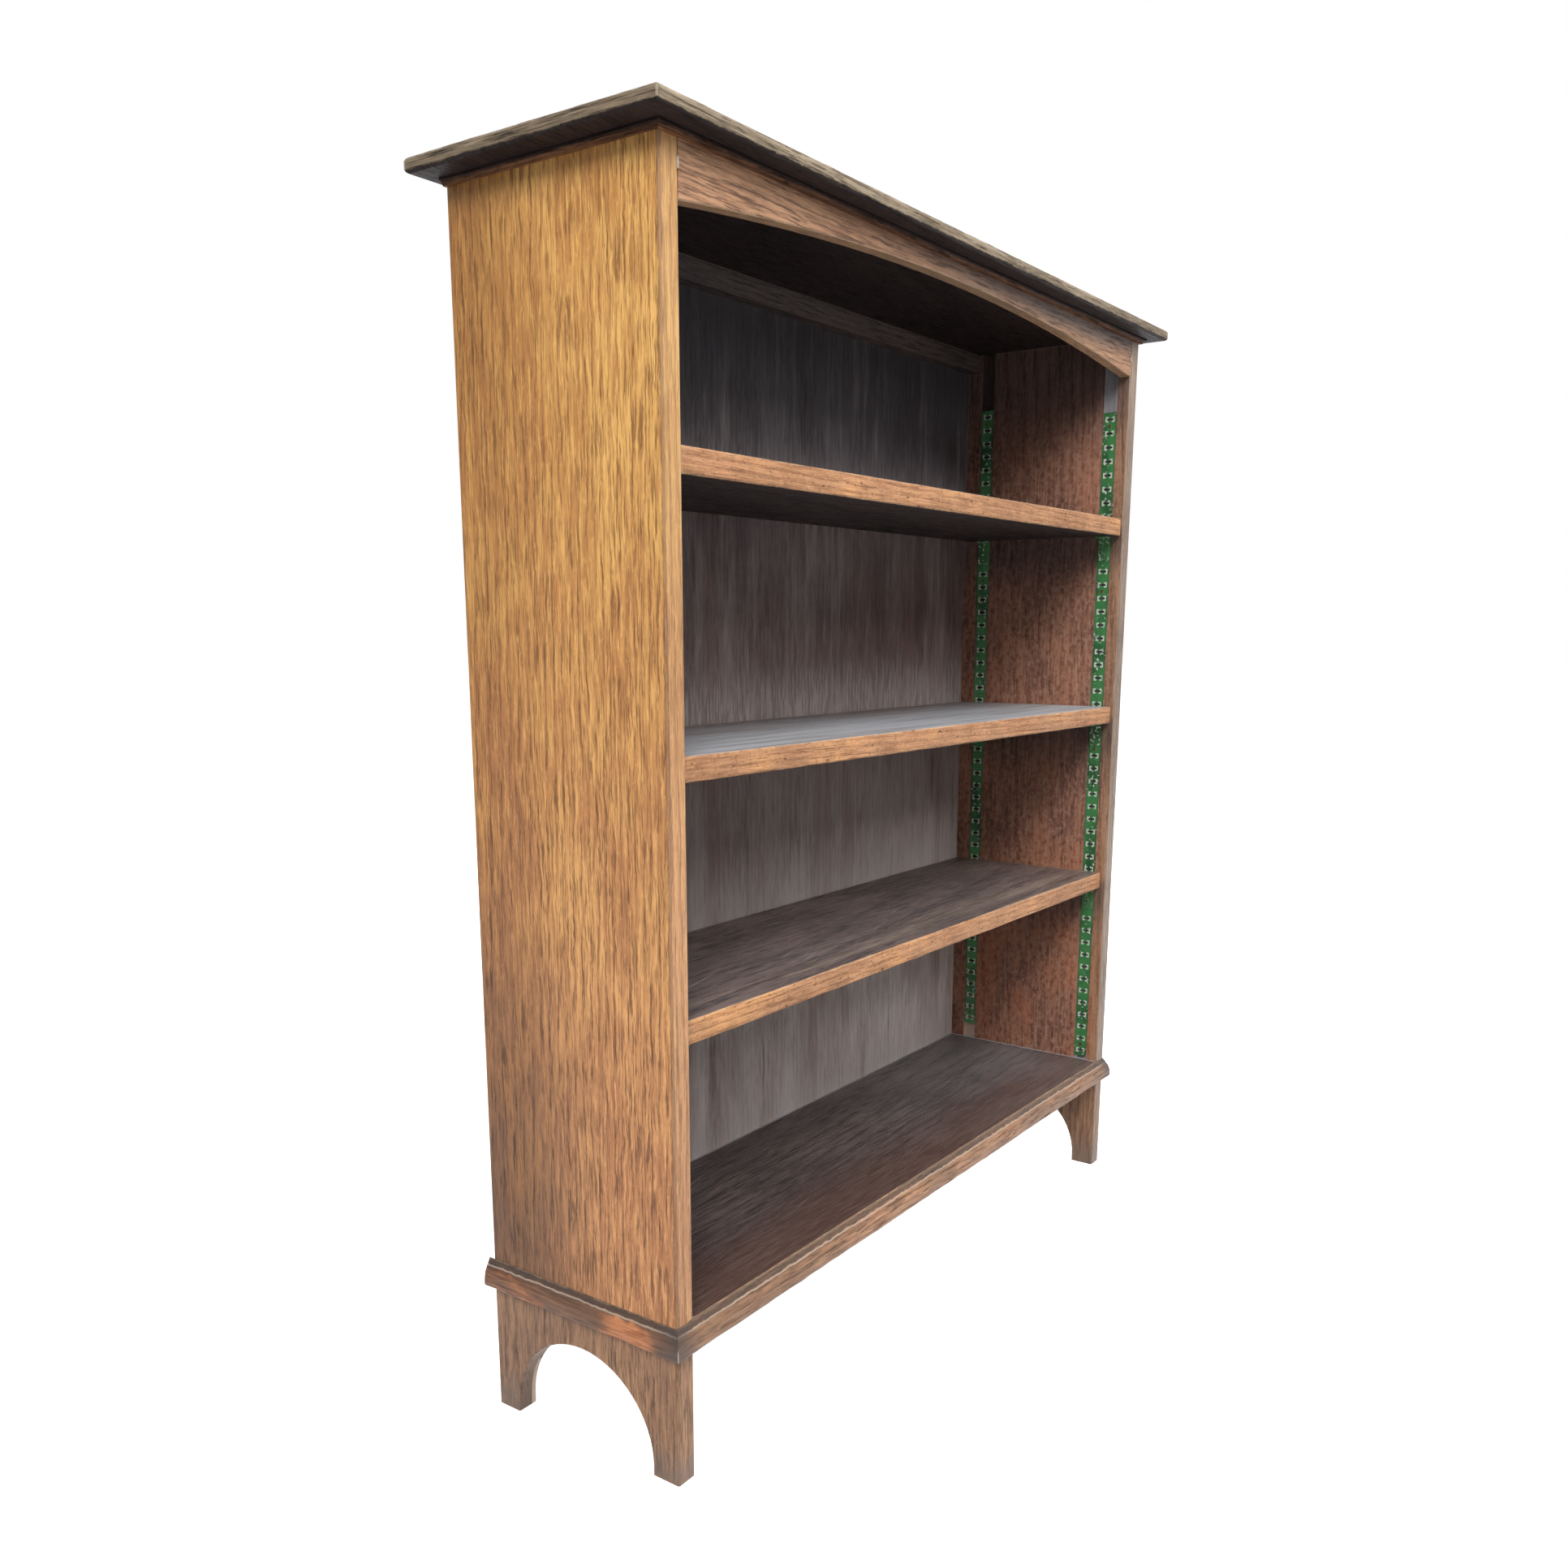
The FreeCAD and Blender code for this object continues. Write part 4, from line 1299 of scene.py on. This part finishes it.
@dataclass(frozen=True)
class BaseMoulding:
    """One length of the base moulding, mitred at the case's front corners.

    Attributes:
        facing: Which way its face looks: -1 or 1 along X for the sides, 0 for the front.
        reach: How far it stands out from the case.
        foot_round: The radius of its lower arris.
        ledge: How far the ledge's arris lies below the top.
        levels: The face's levels, each as a drop from the top and a way out.
        front: Where the case's front lies along Y.
        wear: The deepest wear.
        dip: The length of one dip of the wear.
        step: The length of one stretch between cuts along it.
    """

    facing: int
    reach: float = 9.5 * MM
    foot_round: float = 3.5 * MM
    ledge: float = 6.5 * MM
    levels: tuple[Pair, ...] = (
        (0.0, 0.4 * MM),
        (ledge, 4.5 * MM),
        (11.0 * MM, 6.62 * MM),
        (16.0 * MM, 8.25 * MM),
        (21.0 * MM, 9.19 * MM),
    )
    front: float = -0.119
    wear: float = 0.8 * MM
    dip: float = 22 * MM
    step: float = 7 * MM

    def build(self, finish: OakFinish) -> Piece:
        """Models the moulding and hands it to the frame.

        Args:
            finish: What it is dressed in, with the CAD node that it stands for.

        Returns:
            The moulding.
        """
        box = finish.box
        moulding = add_block(finish.node + "_worn", box)
        with Bench(moulding) as bench:
            for drop, _ in self.levels[1:]:
                bench.cut(Axis.Z, box.high.z - drop)
            for drop, way_out in self.levels:
                bench.pick("VERT", lambda v: self._on_face(v.co, box.high.z - drop))
                inwards = self.reach - way_out
                shift = (-self.facing * inwards, 0.0 if self.facing else inwards, 0.0)
                bpy.ops.transform.translate(value=shift)
            bench.round_off(
                lambda edge: all(self._on_face(v.co, box.low.z) for v in edge.verts),
                self.foot_round,
                5,
            )
            bench.divide(box, finish.cut.grain, self.step)
            for side in (-1, 1):
                if self.facing != -side:
                    turn = -1.0 if self.facing else 1.0
                    corner = (OUTER_WALL * side, self.front, 0.0)
                    bench.slice(corner, (turn * side, turn, 0.0), keep_only_inner=True)
        wear_down(moulding, lambda co: self._wears(co, box), self.wear, self.dip)
        material = finish.material()
        return hand_over(moulding, material, CASE, "oak_moulding", finish.node, angle=24.0)

    def _outward(self, co: Vector) -> float:
        """How far a place stands out from the case's wall."""
        return co.x * self.facing - OUTER_WALL if self.facing else self.front - co.y

    def _on_face(self, co: Vector, height: float) -> bool:
        """Whether a place lies on the block's outer face at that height."""
        return abs(co.z - height) < TOUCH and self._outward(co) > 0.9 * self.reach

    def _wears(self, co: Vector, box: Box) -> bool:
        """Finds what wears.

        Args:
            co: A vertex's place.
            box: The moulding's box.

        Returns:
            Whether the vertex lies on the ledge's arris or the rounded foot.
        """
        out, ledge = self._outward(co), box.high.z - self.ledge
        on_foot = co.z < box.low.z + self.foot_round and out > self.reach - self.foot_round
        return on_foot or (abs(co.z - ledge) < 10 * TOUCH and out > 3 * MM)


class Fastenings:
    """Small pieces on the case: one is modelled, copied to all places, and the copies joined."""

    def one(self) -> Piece:
        """Models one of them at the origin, looking up."""
        raise NotImplementedError

    def places(self) -> list[Matrix]:
        """Where they stand and which way they look."""
        raise NotImplementedError

    def build(
        self, name: str, material: bpy.types.Material, slot: str | None = None, *nodes: str
    ) -> Piece:
        """Models them and hands them to the frame.

        Args:
            name: Their name as one piece.
            material: What they are dressed in.
            slot: A material slot's name, which is handed on but not used.
            nodes: The CAD nodes that they stand for.

        Returns:
            All of them as one piece.
        """
        first = self.one()
        copies = []
        for place in self.places():
            take_up(first)
            bpy.ops.object.duplicate(linked=False)
            bpy.context.object.matrix_world = place
            copies.append(bpy.context.object)
        bpy.data.objects.remove(first, do_unlink=True)
        take_up(*copies)
        bpy.ops.object.join()
        bpy.ops.object.transform_apply()
        joined = bpy.context.object
        joined.name = joined.data.name = name
        return hand_over(joined, material, CASE, slot, *nodes)


@dataclass(frozen=True)
class StripScrews(Fastenings):
    """The countersunk screws of one strip, each with a slot in its head.

    Attributes:
        node: The CAD node that they stand for.
        sign: -1 on the left and 1 on the right.
        head: The head's radius.
        shank: The shank's radius.
        head_height: How deep the head goes.
        length: The whole length.
        slot_width: The width of the slot.
        slot_depth: The depth of the slot.
        count: How many hold the strip.
        first_turn: How the lowest one's slot is turned, in degrees.
        next_turn: How much further each of the others is turned.
    """

    node: str
    sign: int
    head: float = 2.7 * MM
    shank: float = 1.3 * MM
    head_height: float = 1.4 * MM
    length: float = 16.0 * MM
    slot_width: float = 0.8 * MM
    slot_depth: float = 0.7 * MM
    count: int = 5
    first_turn: float = 20.0
    next_turn: float = 37.0

    def one(self) -> Piece:
        """See Fastenings.one."""
        screw = add_disc(28, self.head, -self.head_height, 0.0)
        with Bench(screw) as bench:
            bench.pick("FACE", lambda face: face.normal.z < -0.9)
            share = self.shank / self.head
            bpy.ops.transform.resize(value=(share, share, 1.0))
            down = {"value": (0.0, 0.0, self.head_height - self.length)}
            bpy.ops.mesh.extrude_region_move(TRANSFORM_OT_translate=down)
            bench.pick("FACE", lambda face: face.normal.z > 0.9)
            bpy.ops.mesh.inset(thickness=0.25 * MM, depth=0.0)
            bpy.ops.transform.translate(value=(0.0, 0.0, 0.1 * MM))
        low = Vector((-self.head, -self.slot_width / 2, -self.slot_depth))
        slot = add_block("slot", Box(low, Vector((self.head, self.slot_width / 2, 1.0 * MM))))
        apply_modifier(screw, "BOOLEAN", operation="DIFFERENCE", object=slot, solver="EXACT")
        bpy.data.objects.remove(slot, do_unlink=True)
        return screw

    def places(self) -> list[Matrix]:
        """See Fastenings.places."""
        box = Box(*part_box(self.node))
        face = box.low.x if self.sign > 0 else box.high.x
        lie = Matrix.Rotation(math.radians(-90.0 * self.sign), 4, "Y")
        span = box.high.z - box.low.z - 2 * self.head
        stands = []
        for number in range(self.count):
            height = box.low.z + self.head + span * number / (self.count - 1)
            angle = math.radians(self.next_turn * number + self.first_turn)
            turn = Matrix.Rotation(angle, 4, "Z")
            stands.append(Matrix.Translation((face, box.middle.y, height)) @ lie @ turn)
        return stands


@dataclass(frozen=True)
class BackNails(Fastenings):
    """Hammered nails round the back panel.

    Attributes:
        head: The head's radius.
        thickness: The head's thickness at its rim.
        edge_distance: How far they stand from the panel's edge.
        per_side: How many run up each side.
        side_ends: How far these rows stop short of the panel's bottom and top.
        per_rail: How many run along the top and along the bottom.
        rail_ends: How far these rows stop short of the upright ones.
        rail_levels: How far they lie from the panel's bottom and top.
        tilt: The furthest that a nail leans, in degrees.
        seed: What the leaning is drawn from.
    """

    head: float = 2.6 * MM
    thickness: float = 0.7 * MM
    edge_distance: float = 6.0 * MM
    per_side: int = 6
    side_ends: Pair = (50 * MM, 51 * MM)
    per_rail: int = 5
    rail_ends: float = 88 * MM
    rail_levels: Pair = (12 * MM, 12.5 * MM)
    tilt: float = 4.0
    seed: int = 11

    def one(self) -> Piece:
        """See Fastenings.one. The head's crown is dented."""
        nail = add_disc(20, self.head, -0.1 * self.thickness, 0.9 * self.thickness)
        with Bench(nail) as bench:
            rim = 0.5 * self.thickness
            bench.round_off(lambda edge: all(v.co.z > rim for v in edge.verts), 0.2 * MM, 2)
            for thickness, lift in ((0.7 * MM, 0.12 * MM), (0.9 * MM, -0.10 * MM)):
                bench.pick("FACE", lambda face: face.normal.z > 0.99 and len(face.verts) > 4)
                bpy.ops.mesh.inset(thickness=thickness, depth=0.0)
                bpy.ops.transform.translate(value=(0.0, 0.0, lift))
        return nail

    def places(self) -> list[Matrix]:
        """See Fastenings.places."""
        box = Box(*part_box("back_panel"))
        left, right = box.low.x + self.edge_distance, box.high.x - self.edge_distance
        low, high = box.low.z + self.side_ends[0], box.high.z - self.side_ends[1]
        rise = (high - low) / (self.per_side - 1)
        spots = [(x, low + rise * step) for x in (left, right) for step in range(self.per_side)]
        first = left + self.rail_ends
        run = -2 * first / (self.per_rail - 1)
        levels = (box.low.z + self.rail_levels[0], box.high.z - self.rail_levels[1])
        spots += [(first + run * step, z) for z in levels for step in range(self.per_rail)]
        stand = Matrix.Rotation(math.radians(-90.0), 4, "X")
        luck = random.Random(self.seed)
        stands = []
        for x, z in spots:
            lean = math.radians(luck.uniform(-self.tilt, self.tilt))
            tilt = Matrix.Rotation(lean, 4, "X")
            turn = Matrix.Rotation(luck.uniform(0.0, math.tau), 4, "Z")
            stands.append(Matrix.Translation((x, box.high.y, z)) @ stand @ tilt @ turn)
        return stands


@dataclass(frozen=True)
class FilledJoints(Fastenings):
    """Filler in the joints between the frieze and the sides.

    Attributes:
        radius: Half the filler's width.
        stretch: How many times longer than wide it is.
        rise: How far it stands proud.
        depth: Half of how deep it goes.
        spots: Where, as distances from the middle and heights.
    """

    radius: float = 1.6 * MM
    stretch: float = 3.0
    rise: float = 0.2 * MM
    depth: float = 1.0 * MM
    spots: tuple[Pair, ...] = ((-0.4812, 1.181), (0.4812, 1.176))

    def one(self) -> Piece:
        """See Fastenings.one."""
        plug = add_disc(22, self.radius, -self.depth, self.depth)
        with Bench(plug) as bench:
            bench.round_off(lambda edge: all(v.co.z > 0.0 for v in edge.verts), 0.18 * MM, 3)
        return plug

    def places(self) -> list[Matrix]:
        """See Fastenings.places."""
        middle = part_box("side_panel_left")[0].y + self.depth - self.rise
        shape = Matrix.Scale(self.stretch, 4, (0.0, 0.0, 1.0))
        shape = shape @ Matrix.Rotation(math.radians(90.0), 4, "X")
        return [Matrix.Translation((x, middle, z)) @ shape for x, z in self.spots]


# The pieces of the bookcase


@dataclass(frozen=True)
class Case:
    """The fixed case: sides, top, frieze, bottom board, back and mouldings.

    Attributes:
        top: How the top board is rounded and worn.
        side_growth: One year's growth in the sides' wood.
        back_growth: One year's growth in the back's wood.
        left_patches: Where the stain has gone from the left base moulding.
        right_patches: Where it has gone from the right one.
        nails: The nails round the back.
        joints: The filled joints.
    """

    top: Board = Board(CASE, "oak_top", 4 * MM, 3 * MM, all_round=True, wear=0.9 * MM)
    side_growth: float = 6.5 * MM
    back_growth: float = 9 * MM
    left_patches: tuple[Pair, ...] = ((-0.050, 0.036), (0.090, 0.050))
    right_patches: tuple[Pair, ...] = ((0.02, 0.03),)
    nails: BackNails = BackNails()
    joints: FilledJoints = FilledJoints()

    def build(self) -> None:
        """Models and dresses the case."""
        self._sides()
        self._top()
        self._rails()
        self._base()
        self._hidden()

    def _sides(self) -> None:
        """Dresses the two side panels."""
        for side, sign, shift, worn in (
            ("left", -1, (0.0, 0.03, 0.0), stain(198, 166, 130)),
            ("right", 1, (2.3, 0.31, 0.4), stain(138, 118, 102)),
        ):
            pith = {"pith_aside": 0.26, "pith_below": 0.16}
            cut = Cut(Axis.Z, Axis.X, shift, **pith, ring_width=self.side_growth)
            looks = {"fleck_share": 0.3, "curl": 4.5 * MM, "sign": sign}
            SideFinish("side_panel_" + side, cut, GOLDEN, worn, **looks).dress()

    def _top(self) -> None:
        """Models the top board and dresses the mouldings under it."""
        cut = Cut(Axis.X, Axis.Z, (0.7, 0.2, 0.1), pith_aside=0.05, pith_below=0.09)
        looks = {"wear": 2.2 * MM, "polish": 0.15, "top_only": True, "gloss": 0.07}
        finish = TopFinish("top_board", cut, ASHEN, stain(170, 156, 138), **looks)
        self.top.build(finish)
        for side, grain in (("front", Axis.X), ("left", Axis.Y), ("right", Axis.Y)):
            cut = Cut(grain, Axis.Z, (0.4, 0.6, 0.2))
            CoveFinish("top_moulding_" + side, cut, COCOA, polish=0.0, gloss=0.03).dress()

    def _rails(self) -> None:
        """Dresses the frieze, the rear rail, the bottom board and the back."""
        cut = Cut(Axis.X, Axis.Y, (1.9, 0.5, 0.0), pith_aside=0.1, pith_below=0.12)
        FriezeFinish("frieze_rail", cut, RUDDY).dress()
        cut = Cut(Axis.X, Axis.Y, (3.1, 0.1, 0.3))
        OakFinish("top_rear_rail", cut, EBONY, stain(84, 64, 52)).dress()
        cut = Cut(Axis.X, Axis.Z, (4.0, 0.3, 0.2), pith_aside=0.16, pith_below=0.09)
        FloorFinish("bottom_board", cut, EBONY, stain(104, 86, 76), polish=0.25).dress()
        cut = Cut(Axis.Z, Axis.Y, (0.9, 0.0, 0.5), pith_aside=0.9, ring_width=self.back_growth)
        looks = {"fibre_share": 0.6, "band_share": 0.12, "polish": 0.0, "gloss": 0.12}
        SheetFinish("back_panel", cut, BROWN_SHEET, pore_share=0.25, **looks).dress()

    def _base(self) -> None:
        """Models the base moulding, whose stain has gone in places at the sides."""
        for side, facing, patches in (
            ("front", 0, ()),
            ("left", -1, self.left_patches),
            ("right", 1, self.right_patches),
        ):
            grain, face = (Axis.Y, Axis.X) if facing else (Axis.X, Axis.Y)
            cut = Cut(grain, face, (5.0 + facing, 0.2, 0.1), pith_aside=0.03, pith_below=0.05)
            tones = COCOA if facing else RUDDY
            finish = MouldingFinish("base_moulding_" + side, cut, tones, patches=patches)
            BaseMoulding(facing).build(finish)

    def _hidden(self) -> None:
        """Dresses the blocks and dowels, and models the nails and the filled joints."""
        for node, grain in (
            ("top_corner_blocks", Axis.X),
            ("base_corner_blocks_left", Axis.Y),
            ("base_corner_blocks_right", Axis.Y),
            ("top_dowels_left", Axis.Z),
            ("top_dowels_right", Axis.Z),
        ):
            cut = Cut(grain, Axis.X if grain is Axis.Z else Axis.Z, (0.2, 0.1, 0.6))
            OakFinish(node, cut, PINE, pore_share=0.25, polish=0.0).dress()
        steel = MetalFinish("nail_steel", stain(150, 146, 140), stain(78, 60, 50)).material()
        self.nails.build("back_nails", steel)
        self.joints.build("filled_joints", FillerFinish("joint_filler").material())


@dataclass(frozen=True)
class Shelves:
    """The three loose shelves, each on its own body.

    Attributes:
        rounding: The radius of their front arrises.
    """

    rounding: float = 2 * MM

    def build(self) -> None:
        """Models the shelves."""
        for name, shift, dust, seed in (
            ("upper", (0.3, 0.9, 0.1), 0.10, 1),
            # The middle shelf's pale top is dust with a painted sheen
            ("middle", (6.1, 0.4, 0.3), 0.82, 2),
            ("lower", (8.7, 0.7, 0.2), 0.06, 3),
        ):
            cut = Cut(Axis.X, Axis.Z, shift, pith_aside=0.08)
            looks = {"polish": 0.3, "top_only": True, "gloss": 0.1, "dust": dust, "seed": seed}
            finish = ShelfFinish("shelf_" + name, cut, UMBER, **looks)
            Board(name + "_shelf", "oak_shelf", self.rounding, self.rounding).build(finish)


@dataclass(frozen=True)
class Fittings:
    """The slotted strips, their screws and the shelf clips.

    Attributes:
        clip_chips_and_glints: How much more enamel is worn off the clips than off the strips; these
            pale chips also stand for painted glints.
    """

    clip_chips_and_glints: float = 0.06

    def build(self) -> None:
        """Dresses the strips and clips and models the screws."""
        brass = MetalFinish("screw_brass", stain(164, 142, 96), stain(92, 80, 58)).material()
        green = stain(78, 128, 80)
        clips = EnamelFinish("clip_green", green, extra_chips_and_glints=self.clip_chips_and_glints).material()
        for side, sign in (("left", -1), ("right", 1)):
            # Painted light: the rear strips get a lighter green than the front ones, against the
            # shade they stand in
            for place, green in (("front", stain(66, 128, 74)), ("rear", stain(88, 150, 98))):
                corner = side + "_" + place
                strip, screws = "strip_" + corner, "strip_screws_" + corner
                box = Box(*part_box(strip))
                enamel = EnamelFinish("enamel_" + corner, green, box.low.z, box.middle.y)
                dress(enamel.material(), strip)
                StripScrews(screws, sign).build(screws + "_slotted", brass, "screw_brass", screws)
                dress(clips, *("clip_%s_%s" % (at, corner) for at in ("upper", "middle", "lower")))


# Floor, light and camera


@dataclass(frozen=True)
class Lamp:
    """A large soft lamp.

    Attributes:
        name: Its name.
        place: Where it stands.
        target: What it looks at.
        size: The length of its side.
        power: Its power in watts.
        colour: Its colour.
    """

    name: str
    place: Point
    target: Point
    size: float
    power: float
    colour: Colour = WHITE

    def build(self) -> None:
        """Adds the lamp."""
        bpy.ops.object.light_add(type="AREA", location=self.place)
        lamp = bpy.context.object
        lamp.name = self.name
        lamp.data.shape = "SQUARE"
        lamp.data.size = self.size
        lamp.data.energy = self.power
        lamp.data.color = self.colour
        aim = Vector(self.target) - Vector(self.place)
        lamp.rotation_euler = aim.to_track_quat("-Z", "Y").to_euler()


@dataclass(frozen=True)
class Studio:
    """A pale floor, soft light and the photograph's viewpoint.

    Attributes:
        floor_radius: How far the floor reaches.
        floor_grey: The floor's colour where it lights the object.
        floor_white: Its colour as the camera sees it.
        low_sky: The world's light at the horizon.
        high_sky: The world's light overhead.
        eye: Where the camera stands.
        pitch: How far it is tipped up from looking straight down.
        yaw: How far it is turned about the upright.
        roll: How far it is turned about its own view.
        lens: Its focal length in millimetres.
        shift: How its picture is shifted.
        lamps: The lamps.
    """

    floor_radius: float = 30.0
    floor_grey: Colour = (0.42, 0.42, 0.42)
    floor_white: Colour = (0.93, 0.93, 0.93)
    low_sky: Colour = (0.20, 0.21, 0.22)
    high_sky: Colour = (0.56, 0.59, 0.62)
    eye: Point = (-1.3892, -0.8797, 0.8143)
    pitch: float = math.radians(90.0) - 0.2015
    yaw: float = -0.9468
    roll: float = 0.0016
    lens: float = 30.93
    shift: Pair = (-0.0003, 0.0755)
    lamps: tuple[Lamp, ...] = (
        Lamp("key", (-3.5, -1.95, 3.6), (0.0, 0.0, 0.6), 1.8, 180.0, (1.0, 0.98, 0.95)),
        Lamp("front", (0.3, -3.3, 3.5), (0.0, 0.0, 0.6), 2.2, 108.0),
        Lamp("rear", (2.5, 3.4, 2.6), (0.0, 0.0, 0.7), 2.4, 60.0),
    )

    def build(self) -> None:
        """Sets up the whole studio."""
        self._floor()
        self._world()
        for lamp in self.lamps:
            lamp.build()
        self._camera()
        bpy.context.scene.view_settings.view_transform = "Standard"

    @staticmethod
    def _seen(kit: NodeKit) -> Number:
        """Tells what is seen from what only lights the object.

        Args:
            kit: The material's nodes.

        Returns:
            1 for what the camera sees directly, in a gloss or through glass.
        """
        rays = kit.node("LightPath", {}).outputs
        kinds = ("Is Camera Ray", "Is Glossy Ray", "Is Transmission Ray")
        camera, glossy, through = (Number(kit, rays[kind]) for kind in kinds)
        return camera.at_least(glossy).at_least(through)

    def _floor(self) -> None:
        """Lays a wide pale floor, which keeps the object's shadow."""
        clear_selection()
        bpy.ops.mesh.primitive_circle_add(vertices=96, radius=self.floor_radius, fill_type="NGON")
        floor = bpy.context.object
        floor.name = "floor"
        kit = NodeKit.of("pale_floor")
        seen = self._seen(kit)
        colour = kit.paint(self.floor_grey, (seen, self.floor_white))
        lift = kit.paint(BLACK, (seen, WHITE))
        kit.surface(colour, 0.9, Emission_Color=lift, Emission_Strength=0.70)
        floor.data.materials.append(kit.owner)

    def _world(self) -> None:
        """Lights the scene softly from above, with a white backdrop."""
        world = bpy.data.worlds.new("soft_daylight")
        bpy.context.scene.world = world
        kit = NodeKit(world)
        where = kit.node("TexCoord", {}).outputs["Generated"]
        up = Number(kit, kit.node("SeparateXYZ", {0: where}).outputs[2])
        sky = kit.paint(self.low_sky, (up.ease(0.0, 0.9), self.high_sky))
        light = kit.node("Background", {"Color": sky}).outputs[0]
        white = kit.node("Background", {"Color": WHITE}).outputs[0]
        both = kit.node("MixShader", {0: self._seen(kit), 1: light, 2: white})
        kit.node("OutputWorld", {"Surface": both.outputs[0]})

    def _camera(self) -> None:
        """Puts the camera where the photograph was taken from."""
        bpy.ops.object.camera_add(location=self.eye)
        camera = bpy.context.object
        turn = Matrix.Rotation(self.yaw, 4, "Z") @ Matrix.Rotation(self.pitch, 4, "X")
        turn = turn @ Matrix.Rotation(self.roll, 4, "Z")
        camera.matrix_world = Matrix.Translation(camera.location) @ turn
        camera.data.lens = self.lens
        camera.data.shift_x, camera.data.shift_y = self.shift
        camera.data.clip_start, camera.data.clip_end = 0.05, 100.0
        bpy.context.scene.camera = camera


def main() -> None:
    """Builds the bookcase around the frame, then the studio."""
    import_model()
    for stage in (Case(), Shelves(), Fittings(), Studio()):
        stage.build()
        LOG.info("%s is built", type(stage).__name__)


if __name__ == "__main__":
    main()
